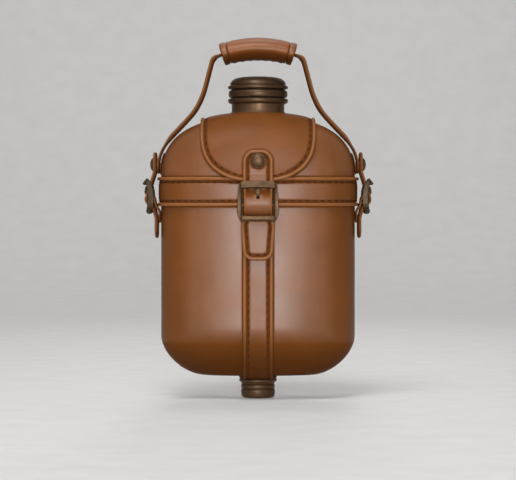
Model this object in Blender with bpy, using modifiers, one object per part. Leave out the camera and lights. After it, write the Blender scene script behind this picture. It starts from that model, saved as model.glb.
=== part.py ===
"""Leather-covered flask with a shoulder flap, buckled straps and a carrying handle.

Blender 4.5, metres, +Z up. The front faces -Y. The origin is the centre of the bottom cap's underside.
"""
import math

import bmesh
import bpy
from mathutils import Matrix, Vector

MM = 0.001

# Clearances
FIT = 0.3 * MM
SKIN_GAP = 1.0 * MM
TURN_GAP = 0.2 * MM

# Bottom outlet, from the ground up
DRAIN_CAP_HEIGHT = 11.9 * MM
DRAIN_CAP_RADIUS = 14.4 * MM
DRAIN_CAP_ROUND = 3.2 * MM
DRAIN_CAP_FLOOR = 2.0 * MM
GASKET_THICKNESS = 1.4 * MM
COLLAR_HEIGHT = 4.8 * MM
EYE_RADIUS = 12.9 * MM
COLLAR_RADIUS = 16.0 * MM
OUTLET_RADIUS = 9.6 * MM
OUTLET_BORE = 6.5 * MM
OUTLET_FLANGE_RADIUS = 13.5 * MM
OUTLET_FLANGE_HEIGHT = 1.6 * MM

# Leather
JACKET_THICKNESS = 2.4 * MM
FLAP_THICKNESS = 2.0 * MM
STRAP_THICKNESS = 1.8 * MM
PATCH_THICKNESS = 0.8 * MM
WELT_RADIUS = 1.5 * MM
STRAP_HALF_WIDTH = 12.6 * MM
CHAPE_HALF_WIDTH = 9.2 * MM

# Body
BODY_HALF_WIDTH = 82.3 * MM
BODY_HALF_DEPTH = 45.0 * MM
BODY_SQUARENESS = 2.5
SIDE_HEIGHT = 166.9 * MM
SHOULDER_RISE = 53.0 * MM
SHOULDER_POWER = 2.5
FRONT_EXTRA_HEIGHT = 8.0 * MM
BOTTOM_INSET_X = 35.0 * MM
BOTTOM_RISE_X = 32.4 * MM
BOTTOM_INSET_Y = 25.0 * MM
BOTTOM_RISE_Y = 42.0 * MM
BOTTOM_POWER = 1.7
JACKET_NECK_RADIUS = 25.5 * MM
VESSEL_WALL = 1.2 * MM

# Neck and screw cap
NECK_RADIUS = 22.3 * MM
NECK_BORE = 16.5 * MM
NECK_THREAD_RADIUS = 19.8 * MM
NECK_SHOW = 8.6 * MM
NECK_SPIGOT_RADIUS = 18.6 * MM
NECK_SPIGOT_LENGTH = 5.0 * MM
CAP_HEIGHT = 22.6 * MM
CAP_RADIUS = 23.4 * MM
CAP_BEAD = 1.8 * MM
CAP_TOP = 4.6 * MM
CAP_BORE = 20.6 * MM

# Shoulder flap
FLAP_HALF_WIDTH = 47.5 * MM
FLAP_CORNER_HEIGHT = 39.0 * MM
FLAP_POWER = 2.4
FLAP_TIP_BELOW_BELT_TOP = 4.4 * MM
FLAP_BACK_TIP_ABOVE_BELT = 1.6 * MM

# Waist belt
BELT_BELOW_SHOULDER = 11.5 * MM
BELT_HALF_HEIGHT = 12.3 * MM

# Buckles
BAR_RADIUS = 1.5 * MM
BAR_DEPTH = 7.7 * MM
CHAPE_THICKNESS = 1.6 * MM
ROLLER_RADIUS = 2.5 * MM
PLATE_THICKNESS = 3.8 * MM
TOP_BAR_THICKNESS = 2.6 * MM
TONGUE_RADIUS = 1.0 * MM
TONGUE_REACH = 9.4 * MM
FRONT_BAR_BELOW_BELT = 8.0 * MM
FRONT_TOP_RISE = 17.0 * MM
FRONT_TIP_RISE = 12.6 * MM
FRONT_TOP_DEPTH = 3.4 * MM
FRONT_ROLLER_DROP = 14.2 * MM
SIDE_BAR_BELOW_BELT = 6.5 * MM
SIDE_TOP_RISE = 19.6 * MM
SIDE_TIP_RISE = 14.2 * MM
SIDE_TOP_DEPTH = 1.4 * MM
SIDE_ROLLER_DROP = 9.9 * MM
TIP_DEPTH = 5.6 * MM
ROLLER_DEPTH = 2.1 * MM

# Studs
STUD_RADIUS = 6.4 * MM
STUD_HEIGHT = 3.2 * MM
SHANK_RADIUS = 1.6 * MM
FRONT_STUD_ABOVE_BELT = 25.5 * MM
SIDE_STUD_ABOVE_BELT = 23.0 * MM
STUD_TO_END = 11.5 * MM
FRONT_FREE_END = 35.0 * MM
SIDE_FREE_END = 23.0 * MM
SIDE_TAIL = 20.0 * MM
SIDE_STUD_TO_END = 10.5 * MM
SIDE_FREE_DEPTH = 3.7 * MM
PATCH_BELOW = 8.6 * MM
PATCH_ABOVE = 10.0 * MM
PATCH_HALF_WIDTH = 9.2 * MM
BEND = 6.0 * MM

# Handle
HANDLE_HALF_WIDTH = 12.4 * MM
HANDLE_THICKNESS = 1.8 * MM
HANDLE_END_RADIUS = 8.4 * MM
SHOULDER_PULLEY = 32.0 * MM
PULLEY_ABOVE_SHOULDER = 8.9 * MM
HOLLOW_RADIUS = 78.0 * MM
HOLLOW_X = 120.6 * MM
HOLLOW_BELOW_GRIP = 13.35 * MM
ENTRY_RADIUS = 8.0 * MM
ENTRY_ANGLE = math.radians(20.0)
GRIP_OVER_CAP = 23.5 * MM
GRIP_HALF_LENGTH = 33.6 * MM
GRIP_ARC_RADIUS = 100.0 * MM
GRIP_HALF_HEIGHT = 9.35 * MM
GRIP_HALF_DEPTH = 15.0 * MM
GRIP_WALL = 1.8 * MM
GRIP_BAND_LENGTH = 5.5 * MM
GRIP_BAND_PROUD = 0.3 * MM

# Facets
SHORTEST = 0.4 * MM
JACKET_COLUMNS = 36
FLAP_COLUMNS = 44
FLAP_ROWS = 6
FLAP_ROW_POWER = 1.8
FLAP_HEM = 0.12
VESSEL_COLUMNS = 24
TURN_STEPS = 28
SMALL_TURN_STEPS = 16

# Heights that follow from the sizes above
COLLAR_Z = DRAIN_CAP_HEIGHT + FIT
EYE_Z = COLLAR_Z + COLLAR_HEIGHT + FIT
BODY_Z = EYE_Z + CHAPE_THICKNESS / 2 + WELT_RADIUS + FIT
SHOULDER_Z = BODY_Z + SIDE_HEIGHT
FRONT_SHOULDER_Z = SHOULDER_Z + FRONT_EXTRA_HEIGHT


def rounded(share, power):
    """Height of a superellipse arc at a share of its half width."""
    return (1.0 - min(max(share, 0.0), 1.0) ** power) ** (1.0 / power)


NECK_Z = SHOULDER_Z + SHOULDER_RISE * rounded(JACKET_NECK_RADIUS / BODY_HALF_WIDTH, SHOULDER_POWER)
FRONT_RISE = (NECK_Z - FRONT_SHOULDER_Z) / rounded(JACKET_NECK_RADIUS / BODY_HALF_DEPTH, SHOULDER_POWER)
BELT_Z = SHOULDER_Z - BELT_BELOW_SHOULDER
BELT_TOP_Z = BELT_Z + BELT_HALF_HEIGHT
FLAP_TIP_Z = BELT_TOP_Z - FLAP_TIP_BELOW_BELT_TOP
FLAP_BACK_TIP_Z = BELT_TOP_Z + FLAP_BACK_TIP_ABOVE_BELT
VESSEL_OFFSET = JACKET_THICKNESS + SKIN_GAP
VESSEL_TOP_Z = NECK_Z - 0.9 * VESSEL_OFFSET
NECK_SEAT_Z = VESSEL_TOP_Z + FIT
CAP_Z = NECK_Z + SKIN_GAP + FLAP_THICKNESS + NECK_SHOW
CAP_TOP_Z = CAP_Z + CAP_HEIGHT
NECK_TOP_Z = CAP_TOP_Z - CAP_TOP - GASKET_THICKNESS - 2 * FIT
GRIP_Z = CAP_TOP_Z + GRIP_OVER_CAP
WELT_DEPTH = FIT + WELT_RADIUS
WELT_TOP = FIT + 2 * WELT_RADIUS
FLAP_LIFT = WELT_TOP + FIT - SKIN_GAP
SIDE_STUD_Z = BELT_Z + SIDE_STUD_ABOVE_BELT
FRONT_STUD_Z = BELT_Z + FRONT_STUD_ABOVE_BELT
FRONT_BAR_Z = BELT_Z - FRONT_BAR_BELOW_BELT
SIDE_BAR_Z = BELT_Z - SIDE_BAR_BELOW_BELT
HANDLE_DEPTH = FIT + PATCH_THICKNESS + FIT + HANDLE_THICKNESS / 2
LAP = WELT_RADIUS + FIT
HUG = BAR_RADIUS + TURN_GAP + CHAPE_THICKNESS + FIT + STRAP_THICKNESS / 2
ROLLER_HUG = ROLLER_RADIUS + LAP
PLATE_INNER = STRAP_HALF_WIDTH + 2.6 * FIT
OVER_WELT = WELT_RADIUS + LAP
FLAP_LIE = SKIN_GAP + FLAP_THICKNESS + LAP
FLAP_LIFTED = SKIN_GAP + FLAP_LIFT
STRAP_OVER_STRAP = LAP + WELT_RADIUS + LAP
INWARD = -1.0


def start_clean():
    """Removes the scene's objects."""
    for item in list(bpy.data.objects):
        bpy.data.objects.remove(item, do_unlink=True)


def new_collection(name):
    group = bpy.data.collections.new(name)
    bpy.context.scene.collection.children.link(group)
    return group


def principled(name, colour, roughness, metallic=0.0):
    """A plain Principled material."""
    made = bpy.data.materials.new(name)
    made.use_nodes = True
    shader = made.node_tree.nodes["Principled BSDF"]
    shader.inputs["Base Color"].default_value = (*colour, 1.0)
    shader.inputs["Roughness"].default_value = roughness
    shader.inputs["Metallic"].default_value = metallic
    return made


start_clean()
PARTS = new_collection("leather_flask")
CUTTERS = new_collection("cutters")

BODY_LEATHER = ((0.26, 0.10, 0.035), 0.45)
FLAP_LEATHER = ((0.25, 0.095, 0.036), 0.5)
STRAP_LEATHER = ((0.24, 0.09, 0.034), 0.45)
EDGE_LEATHER = ((0.30, 0.125, 0.05), 0.4)
GRIP_LEATHER = ((0.25, 0.09, 0.032), 0.4)
BUCKLE_BRONZE = ((0.22, 0.135, 0.07), 0.4, 1.0)
DARK_BRONZE = ((0.14, 0.09, 0.05), 0.4, 1.0)
TINNED_METAL = ((0.55, 0.56, 0.57), 0.35, 1.0)
SEAL_RUBBER = ((0.03, 0.03, 0.03), 0.8)
FELT = ((0.22, 0.19, 0.15), 0.95)


# Object helpers

def add_object(name, mesh, finish, parent=None, group=PARTS):
    """An object with its own material, under an optional parent."""
    made = bpy.data.objects.new(name, mesh)
    group.objects.link(made)
    made.parent = parent
    if finish is not None:
        made.data.materials.clear()
        made.data.materials.append(principled(name, *finish))
    return made


def hide_cutter(cutter):
    cutter.hide_render = True
    cutter.display_type = "WIRE"


def mesh_from(verts, faces, name):
    """A mesh with its faces turned the same way."""
    mesh = bpy.data.meshes.new(name)
    mesh.from_pydata([tuple(v) for v in verts], [], faces)
    mesh.validate()
    return mesh


def smooth(item, degrees=35.0):
    item.data.shade_smooth()
    item.data.set_sharp_from_angle(angle=math.radians(degrees))


def empty(name, location, turn=0.0):
    """A placing frame, turned about the vertical."""
    made = bpy.data.objects.new(name, None)
    PARTS.objects.link(made)
    made.location = location
    made.rotation_euler = (0.0, 0.0, math.radians(turn))
    made.empty_display_size = 0.01
    return made


def solidify(item, thickness, offset):
    layer = item.modifiers.new("thickness", "SOLIDIFY")
    layer.thickness = thickness
    layer.offset = offset
    layer.use_even_offset = True
    return layer


def cut(item, cutter, operation="DIFFERENCE"):
    step = item.modifiers.new("cut_" + cutter.name, "BOOLEAN")
    step.operation = operation
    step.solver = "EXACT"
    step.object = cutter
    return step


def box_mesh(name, low, high):
    """A box between two corners."""
    build = bmesh.new()
    bmesh.ops.create_cube(build, size=1.0)
    size = Vector(high) - Vector(low)
    middle = (Vector(high) + Vector(low)) / 2
    bmesh.ops.scale(build, vec=size, verts=build.verts)
    bmesh.ops.translate(build, vec=middle, verts=build.verts)
    mesh = bpy.data.meshes.new(name)
    build.to_mesh(mesh)
    build.free()
    return mesh


def rod_mesh(name, start, end, radius, sides):
    """A closed round bar between two points."""
    start, end = Vector(start), Vector(end)
    build = bmesh.new()
    bmesh.ops.create_cone(
        build, cap_ends=True, segments=sides, radius1=radius, radius2=radius, depth=(end - start).length
    )
    turn = Vector((0, 0, 1)).rotation_difference(end - start).to_matrix().to_4x4()
    bmesh.ops.transform(build, matrix=Matrix.Translation((start + end) / 2) @ turn, verts=build.verts)
    mesh = bpy.data.meshes.new(name)
    build.to_mesh(mesh)
    build.free()
    return mesh


def cutter(name, mesh, parent=None):
    made = add_object(name, mesh, None, parent, CUTTERS)
    hide_cutter(made)
    return made


def turned(name, profile, finish, steps, closed, parent=None):
    """A piece turned about its own Z axis from (radius, height) points, top to bottom outside."""
    mesh = bpy.data.meshes.new(name)
    count = len(profile)
    edges = [(i, i + 1) for i in range(count - 1)]
    if closed:
        edges.append((count - 1, 0))
    mesh.from_pydata([(r, 0.0, z) for r, z in profile], edges, [])
    made = add_object(name, mesh, finish, parent)
    lathe = made.modifiers.new("turn", "SCREW")
    lathe.steps = steps
    lathe.render_steps = steps
    lathe.use_merge_vertices = True
    lathe.merge_threshold = 0.00001
    lathe.use_smooth_shade = True
    return made


def tube(name, points, radius, finish, closed=False, parent=None, origin=(0, 0, 0)):
    """A round cord along points, as a mesh with welded caps."""
    curve = bpy.data.curves.new(name, "CURVE")
    curve.dimensions = "3D"
    curve.bevel_depth = radius
    curve.bevel_resolution = 1
    curve.use_fill_caps = True
    line = curve.splines.new("POLY")
    line.points.add(len(points) - 1)
    for spot, point in zip(line.points, points):
        spot.co = (*(Vector(point) - Vector(origin)), 1.0)
    line.use_cyclic_u = closed
    drawn = bpy.data.objects.new(name + "_line", curve)
    CUTTERS.objects.link(drawn)
    graph = bpy.context.evaluated_depsgraph_get()
    mesh = bpy.data.meshes.new_from_object(drawn.evaluated_get(graph))
    build = bmesh.new()
    build.from_mesh(mesh)
    bmesh.ops.remove_doubles(build, verts=build.verts, dist=0.00001)
    bmesh.ops.recalc_face_normals(build, faces=build.faces)
    build.to_mesh(mesh)
    build.free()
    bpy.data.objects.remove(drawn, do_unlink=True)
    mesh.name = name
    made = add_object(name, mesh, finish, parent)
    made.location = origin
    smooth(made, 80.0)
    return made


def bridge(rings, closed_ring=True):
    """Vertices and quads of a skin through rings of equally many points."""
    count = len(rings[0])
    verts = [point for ring in rings for point in ring]
    last = count if closed_ring else count - 1
    faces = []
    for row in range(len(rings) - 1):
        for column in range(last):
            following = (column + 1) % count
            a = row * count + column
            b = row * count + following
            faces.append((a, b, b + count, a + count))
    return verts, faces


# Body surface

def half_width(z):
    """Half width of the jacket's outside at a height."""
    if z > SHOULDER_Z:
        return BODY_HALF_WIDTH * rounded((z - SHOULDER_Z) / SHOULDER_RISE, SHOULDER_POWER)
    turn = BODY_Z + BOTTOM_RISE_X
    drop = 1.0 - rounded((turn - z) / BOTTOM_RISE_X, BOTTOM_POWER)
    return BODY_HALF_WIDTH - BOTTOM_INSET_X * drop


def half_depth(z):
    """Half depth of the jacket's outside at a height."""
    if z > FRONT_SHOULDER_Z:
        return BODY_HALF_DEPTH * rounded((z - FRONT_SHOULDER_Z) / FRONT_RISE, SHOULDER_POWER)
    turn = BODY_Z + BOTTOM_RISE_Y
    drop = 1.0 - rounded((turn - z) / BOTTOM_RISE_Y, BOTTOM_POWER)
    return BODY_HALF_DEPTH - BOTTOM_INSET_Y * drop


def squareness(z):
    """Superellipse power of the section, falling to a circle at the neck."""
    share = min(max((z - SHOULDER_Z) / (NECK_Z - SHOULDER_Z), 0.0), 1.0)
    return BODY_SQUARENESS + (2.0 - BODY_SQUARENESS) * share ** 2


def spread(value, power):
    return math.copysign(abs(value) ** (2.0 / power), value)


def surface(angle, z):
    power = squareness(z)
    x = half_width(z) * spread(math.cos(angle), power)
    y = half_depth(z) * spread(math.sin(angle), power)
    return Vector((x, y, z))


def skin_point(angle, z, offset=0.0):
    """A point a given distance outside the jacket."""
    step = 0.002
    rise = 0.02 * MM
    low = max(z - rise, BODY_Z)
    high = min(z + rise, NECK_Z)
    along = surface(angle + step, z) - surface(angle - step, z)
    up = surface(angle, high) - surface(angle, low)
    return surface(angle, z) + along.cross(up).normalized() * offset


def column_angles(columns):
    """Angles with a flat facet, not an edge, on each axis."""
    return [2 * math.pi * (i + 0.5) / columns for i in range(columns)]


def body_rows():
    """Heights of the rings, close together where the body curves."""
    low_turn = BODY_Z + BOTTOM_RISE_Y
    turns = [math.radians(15 * i) for i in range(7)]
    lower = [low_turn - BOTTOM_RISE_Y * math.cos(a) ** (2 / BOTTOM_POWER) for a in turns]
    reach = math.asin(((NECK_Z - SHOULDER_Z) / SHOULDER_RISE) ** (SHOULDER_POWER / 2))
    upper = [SHOULDER_Z + SHOULDER_RISE * math.sin(reach * i / 6) ** (2 / SHOULDER_POWER) for i in range(7)]
    return lower + upper


def circle(radius, z, angles):
    return [Vector((radius * math.cos(a), radius * math.sin(a), z)) for a in angles]


def body_shell(name, columns, offset, hole, neck, wall):
    """An open skin over the body, with a bottom hole and a neck opening, given a wall inwards."""
    angles = column_angles(columns)
    rings = [circle(hole, BODY_Z - offset, angles)]
    rings += [[skin_point(a, z, offset) for a in angles] for z in body_rows()]
    if neck is not None:
        rings.append(circle(neck, VESSEL_TOP_Z, angles))
    verts, faces = bridge(rings)
    made = cutter(name, mesh_from(verts, faces, name))
    solidify(made, wall, -1.0)
    return made


def half_of(name, shell, sign, finish):
    """The front (-1) or back (+1) half of a body shell, split at the side seams."""
    graph = bpy.context.evaluated_depsgraph_get()
    mesh = bpy.data.meshes.new_from_object(shell.evaluated_get(graph))
    made = add_object(name, mesh, finish)
    reach = 2 * BODY_HALF_WIDTH
    low = [-reach, FIT / 2, -reach]
    high = [reach, reach, 2 * reach]
    if sign < 0:
        low[1], high[1] = -reach, -FIT / 2
    cut(made, cutter(name + "_side", box_mesh(name + "_side", low, high)), "INTERSECT")
    return made


def make_body():
    """The metal vessel's two pressed halves and the leather jacket's two panels."""
    mouth = NECK_SPIGOT_RADIUS + FIT
    hole = OUTLET_RADIUS + FIT
    vessel = body_shell("vessel_skin", VESSEL_COLUMNS, -VESSEL_OFFSET, hole, mouth, VESSEL_WALL)
    jacket = body_shell("jacket_skin", JACKET_COLUMNS, 0.0, hole + FIT, None, JACKET_THICKNESS)
    bpy.context.view_layer.update()
    half_of("vessel_front", vessel, -1, TINNED_METAL)
    half_of("vessel_back", vessel, 1, TINNED_METAL)
    half_of("jacket_front", jacket, -1, BODY_LEATHER)
    half_of("jacket_back", jacket, 1, BODY_LEATHER)


# Neck, cap and outlet

def make_neck():
    """The neck ring on the vessel, its screw cap and the gasket between them."""
    turned("neck_ring", [
        (NECK_THREAD_RADIUS, NECK_TOP_Z),
        (NECK_THREAD_RADIUS, CAP_Z - FIT),
        (NECK_RADIUS, CAP_Z - FIT),
        (NECK_RADIUS, NECK_SEAT_Z),
        (NECK_SPIGOT_RADIUS, NECK_SEAT_Z),
        (NECK_SPIGOT_RADIUS, NECK_SEAT_Z - NECK_SPIGOT_LENGTH),
        (NECK_BORE, NECK_SEAT_Z - NECK_SPIGOT_LENGTH),
        (NECK_BORE, NECK_TOP_Z),
    ], DARK_BRONZE, TURN_STEPS, True)
    seal_top = NECK_TOP_Z + FIT + GASKET_THICKNESS
    turned("cap_gasket", [
        (NECK_THREAD_RADIUS, seal_top),
        (NECK_THREAD_RADIUS, NECK_TOP_Z + FIT),
        (NECK_BORE, NECK_TOP_Z + FIT),
        (NECK_BORE, seal_top),
    ], SEAL_RUBBER, TURN_STEPS, True)
    turned("screw_cap", cap_profile(), DARK_BRONZE, TURN_STEPS, False)


def cap_profile():
    """The cap's half section: a rounded top, three rolled beads and a plain bore."""
    top = CAP_TOP_Z
    bead = CAP_RADIUS + CAP_BEAD
    band = CAP_HEIGHT / 4
    return [
        (0.0, top),
        (0.53 * CAP_RADIUS, top),
        (0.84 * CAP_RADIUS, top - 0.3 * band),
        (0.96 * CAP_RADIUS, top - 0.62 * band),
        (CAP_RADIUS, top - 1.1 * band),
        (bead, top - 1.55 * band),
        (CAP_RADIUS, top - 1.9 * band),
        (bead - 0.6 * MM, top - 2.5 * band),
        (bead - 0.6 * MM, top - 2.9 * band),
        (CAP_RADIUS, top - 3.1 * band),
        (bead, top - 3.5 * band),
        (bead, top - 3.75 * band),
        (CAP_RADIUS, CAP_Z),
        (CAP_BORE, CAP_Z),
        (CAP_BORE, top - CAP_TOP),
        (0.0, top - CAP_TOP),
    ]


def make_outlet():
    """The outlet through the vessel's bottom, its lock collar, gasket and drain cap."""
    floor = BODY_Z + VESSEL_OFFSET + VESSEL_WALL + FIT
    foot = DRAIN_CAP_FLOOR + FIT + GASKET_THICKNESS + FIT
    turned("outlet_tube", [
        (OUTLET_FLANGE_RADIUS, floor + OUTLET_FLANGE_HEIGHT),
        (OUTLET_FLANGE_RADIUS, floor),
        (OUTLET_RADIUS, floor),
        (OUTLET_RADIUS, foot),
        (OUTLET_BORE, foot),
        (OUTLET_BORE, floor + OUTLET_FLANGE_HEIGHT),
    ], DARK_BRONZE, 24, True)
    turned("outlet_collar", [
        (EYE_RADIUS, COLLAR_Z + COLLAR_HEIGHT),
        (COLLAR_RADIUS - 1.0 * MM, COLLAR_Z + 0.82 * COLLAR_HEIGHT),
        (COLLAR_RADIUS, COLLAR_Z + 0.64 * COLLAR_HEIGHT),
        (COLLAR_RADIUS, COLLAR_Z + 0.3 * COLLAR_HEIGHT),
        (COLLAR_RADIUS - 1.4 * MM, COLLAR_Z),
        (OUTLET_RADIUS + FIT, COLLAR_Z),
        (OUTLET_RADIUS + FIT, COLLAR_Z + COLLAR_HEIGHT),
    ], DARK_BRONZE, 24, True)
    turned("drain_gasket", [
        (OUTLET_RADIUS, foot - FIT),
        (OUTLET_RADIUS, DRAIN_CAP_FLOOR + FIT),
        (OUTLET_BORE, DRAIN_CAP_FLOOR + FIT),
        (OUTLET_BORE, foot - FIT),
    ], SEAL_RUBBER, 24, True)
    corner = [
        (DRAIN_CAP_RADIUS - DRAIN_CAP_ROUND * (1 - math.cos(a)), DRAIN_CAP_ROUND * (1 - math.sin(a)))
        for a in [math.radians(22.5 * i) for i in range(5)]
    ]
    turned("drain_cap", [
        (0.0, DRAIN_CAP_FLOOR),
        (OUTLET_RADIUS + FIT, DRAIN_CAP_FLOOR),
        (OUTLET_RADIUS + FIT, DRAIN_CAP_HEIGHT),
        (DRAIN_CAP_RADIUS - 0.8 * MM, DRAIN_CAP_HEIGHT),
        (DRAIN_CAP_RADIUS, DRAIN_CAP_HEIGHT - 0.8 * MM),
        *corner,
        (0.0, 0.0),
    ], DARK_BRONZE, 24, False)


# Shoulder flap

def flap_edge(z, tip, inset):
    """Half width of the flap at a height above its tip."""
    centre = tip + FLAP_CORNER_HEIGHT
    reach = FLAP_CORNER_HEIGHT - inset
    if z >= centre:
        return FLAP_HALF_WIDTH - inset
    return (FLAP_HALF_WIDTH - inset) * rounded((centre - z) / reach, FLAP_POWER)


def flap_low(angle, inset):
    """The height where a line of the body at this angle meets the flap's edge."""
    tip = FLAP_TIP_Z if math.sin(angle) < 0 else FLAP_BACK_TIP_Z
    low, high = tip + inset, NECK_Z
    for _ in range(40):
        middle = (low + high) / 2
        if abs(surface(angle, middle).x) > flap_edge(middle, tip, inset):
            low = middle
        else:
            high = middle
    return high


def flap_offset(angle, z):
    """Clearance under the flap, which lifts over the belt's edge at the front."""
    if math.sin(angle) > 0:
        return SKIN_GAP
    top = BELT_TOP_Z + 5.5 * MM
    share = min(max((top - z) / (top - BELT_TOP_Z - 0.4 * MM), 0.0), 1.0)
    return SKIN_GAP + FLAP_LIFT * share * share * (3 - 2 * share)


def flap_angles(count):
    """Angles closer together towards the front and back, where the flap hangs."""
    quarter = count // 4
    first = [math.radians(90) * (1 - (1 - (i + 0.5) / quarter) ** 1.25) for i in range(quarter)]
    half = first + [math.pi - a for a in reversed(first)]
    return half + [a + math.pi for a in half]


def make_flap():
    """The leather flap over the shoulder, round the neck, and the welt along its edge."""
    angles = flap_angles(FLAP_COLUMNS)
    inset = 2 * WELT_RADIUS + FIT
    lows = [flap_low(angle, inset) for angle in angles]
    rows = [0.0] + [i / FLAP_ROWS for i in range(FLAP_ROWS + 1)]
    rings = []
    for index, share in enumerate(rows):
        ring = []
        for angle, low in zip(angles, lows):
            start = low if index == 0 else low + FLAP_HEM * (NECK_Z - low)
            z = NECK_Z - (NECK_Z - start) * (1.0 - share) ** FLAP_ROW_POWER
            ring.append(skin_point(angle, z, flap_offset(angle, z)))
        rings.append(ring)
    top = NECK_Z + SKIN_GAP + 0.4 * MM
    rings.append(circle(NECK_RADIUS + FIT, top, angles))
    verts, faces = bridge(rings)
    flap = add_object("shoulder_flap", mesh_from(verts, faces, "shoulder_flap"), FLAP_LEATHER)
    solidify(flap, FLAP_THICKNESS, 1.0)
    smooth(flap)
    edge = []
    for angle in angles:
        z = flap_low(angle, WELT_RADIUS)
        edge.append(skin_point(angle, z, flap_offset(angle, z) + WELT_RADIUS))
    tube("flap_welt", edge, WELT_RADIUS, EDGE_LEATHER, closed=True)


# Waist belt

def make_belt():
    """The belt round the waist and the welts along its two edges."""
    angles = column_angles(JACKET_COLUMNS)
    strip = BELT_HALF_HEIGHT - 2 * WELT_RADIUS - FIT
    rings = [[skin_point(a, BELT_Z + side * strip, FIT) for a in angles] for side in (-1, 1)]
    verts, faces = bridge(rings)
    belt = add_object("waist_belt", mesh_from(verts, faces, "waist_belt"), STRAP_LEATHER)
    solidify(belt, STRAP_THICKNESS, 1.0)
    smooth(belt)
    for side, name in ((-1, "belt_welt_lower"), (1, "belt_welt_upper")):
        z = BELT_Z + side * (BELT_HALF_HEIGHT - WELT_RADIUS)
        ring = [skin_point(a, z, WELT_DEPTH) for a in angles]
        tube(name, ring, WELT_RADIUS, EDGE_LEATHER, closed=True)


# Strap routes, drawn as (depth outside the jacket, height)

def tangent(first, second):
    """The straight run between two circles (centre, radius); a plus radius is passed on the right."""
    (c1, r1), (c2, r2) = first, second
    gap = c2 - c1
    along = gap.normalized()
    side = Vector((along.y, -along.x))
    lean = (r1 - r2) / gap.length
    normal = along * lean + side * math.sqrt(max(1.0 - lean * lean, 0.0))
    return c1 + normal * r1, c2 + normal * r2


def turn_at(circles, index):
    """The strap's arrival at a pulley and how far it turns there, clockwise plus."""
    centre = circles[index][0]
    arrive = tangent(circles[index - 1], circles[index])[1] - centre
    leave = tangent(circles[index], circles[index + 1])[0] - centre
    if abs(circles[index][1]) < 1e-9:
        return arrive, 0.0
    return arrive, arrive.angle_signed(leave, 0.0)


def route(stops, step=24.0):
    """A path over pulleys, each (depth, height, signed radius); one that it doesn't touch is passed by."""
    circles = [(Vector((d, z)), r) for d, z, r in stops]
    for index in range(len(circles) - 2, 0, -1):
        radius = circles[index][1]
        if radius * turn_at(circles, index)[1] > 0:
            circles.pop(index)
    points = [circles[0][0].copy()]
    for index in range(1, len(circles) - 1):
        arrive, sweep = turn_at(circles, index)
        count = math.ceil(abs(math.degrees(sweep)) / step)
        for i in range(count + 1):
            turn = Matrix.Rotation(-sweep * i / max(count, 1), 2)
            points.append(circles[index][0] + turn @ arrive)
    points.append(circles[-1][0].copy())
    kept = [points[0]]
    for point in points[1:]:
        if (point - kept[-1]).length > SHORTEST:
            kept.append(point)
    return kept


def with_ends(points, start_round, end_round, half, step=25.0):
    """Points along a path with half widths that round off its ends."""
    lengths = [0.0]
    for a, b in zip(points, points[1:]):
        lengths.append(lengths[-1] + (b - a).length)
    total = lengths[-1]
    spots = set(lengths)
    for radius, where in ((start_round, 0.0), (end_round, total)):
        if radius:
            for i in range(1, 4):
                reach = radius * (1 - math.cos(math.radians(step * i)))
                spots.add(abs(where - reach))
            spots.add(abs(where - radius))
    found = []
    for spot in sorted(spots):
        index = max(i for i, l in enumerate(lengths) if l <= spot + 1e-9)
        index = min(index, len(points) - 2)
        span = lengths[index + 1] - lengths[index]
        share = (spot - lengths[index]) / span if span > 1e-9 else 0.0
        width = half(spot, total) if callable(half) else half
        for radius, away in ((start_round, spot), (end_round, total - spot)):
            if radius and away < radius:
                width = width - radius + math.sqrt(max(radius ** 2 - (radius - away) ** 2, 0.0))
        found.append((points[index].lerp(points[index + 1], share), max(width, 0.4 * MM)))
    return found


def place(point, across):
    """A route's point in a mount's own frame, where -Y is outwards."""
    return Vector((across, -point.x, point.y))


def ribbon(name, spots, thickness, finish, parent, flat=0.0):
    """A leather strip along a route, from (point, half width) pairs."""
    verts, faces = [], []
    for point, width in spots:
        verts += [place(point, -width), place(point, width)]
    for i in range(len(spots) - 1):
        a = 2 * i
        faces.append((a, a + 1, a + 3, a + 2))
    made = add_object(name, mesh_from(verts, faces, name), finish, parent)
    solidify(made, thickness, flat)
    return made


def welt_loop(name, spots, finish, parent, closed=True):
    """A round edge along both sides of a route, joined round its ends."""
    left = [place(p, -w) for p, w in spots]
    right = [place(p, w) for p, w in spots]
    path = left + right[::-1] if closed else left[::-1] + right
    kept = [path[0]]
    for point in path[1:]:
        if (point - kept[-1]).length > 0.6 * MM:
            kept.append(point)
    if closed and (kept[0] - kept[-1]).length < 0.6 * MM:
        kept.pop()
    return tube(name, kept, WELT_RADIUS, finish, closed, parent)


def billet(name, path, parent, stud_z, hole_z):
    """A buckled strap with rounded ends, its welt and its holes."""
    inset = 2 * WELT_RADIUS + FIT
    outer = STRAP_HALF_WIDTH - WELT_RADIUS
    strip = STRAP_HALF_WIDTH - inset
    trimmed = trim(path, inset, inset)
    made = ribbon(name, with_ends(trimmed, strip, strip, strip), STRAP_THICKNESS, STRAP_LEATHER, parent)
    edge = with_ends(trim(path, WELT_RADIUS, WELT_RADIUS), outer, outer, outer)
    welt_loop(name + "_welt", edge, EDGE_LEATHER, parent)
    reach = 30 * MM
    hole = rod_mesh(name + "_hole", (0, reach, stud_z), (0, -reach, stud_z), SHANK_RADIUS + FIT, 12)
    cut(made, cutter(name + "_hole", hole, parent))
    slot = box_mesh(
        name + "_slot",
        (-TONGUE_RADIUS - 0.5 * MM, -reach, hole_z - 0.4 * MM),
        (TONGUE_RADIUS + 0.5 * MM, -BAR_DEPTH, hole_z + 5.4 * MM),
    )
    cut(made, cutter(name + "_slot", slot, parent))
    return made


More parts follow.
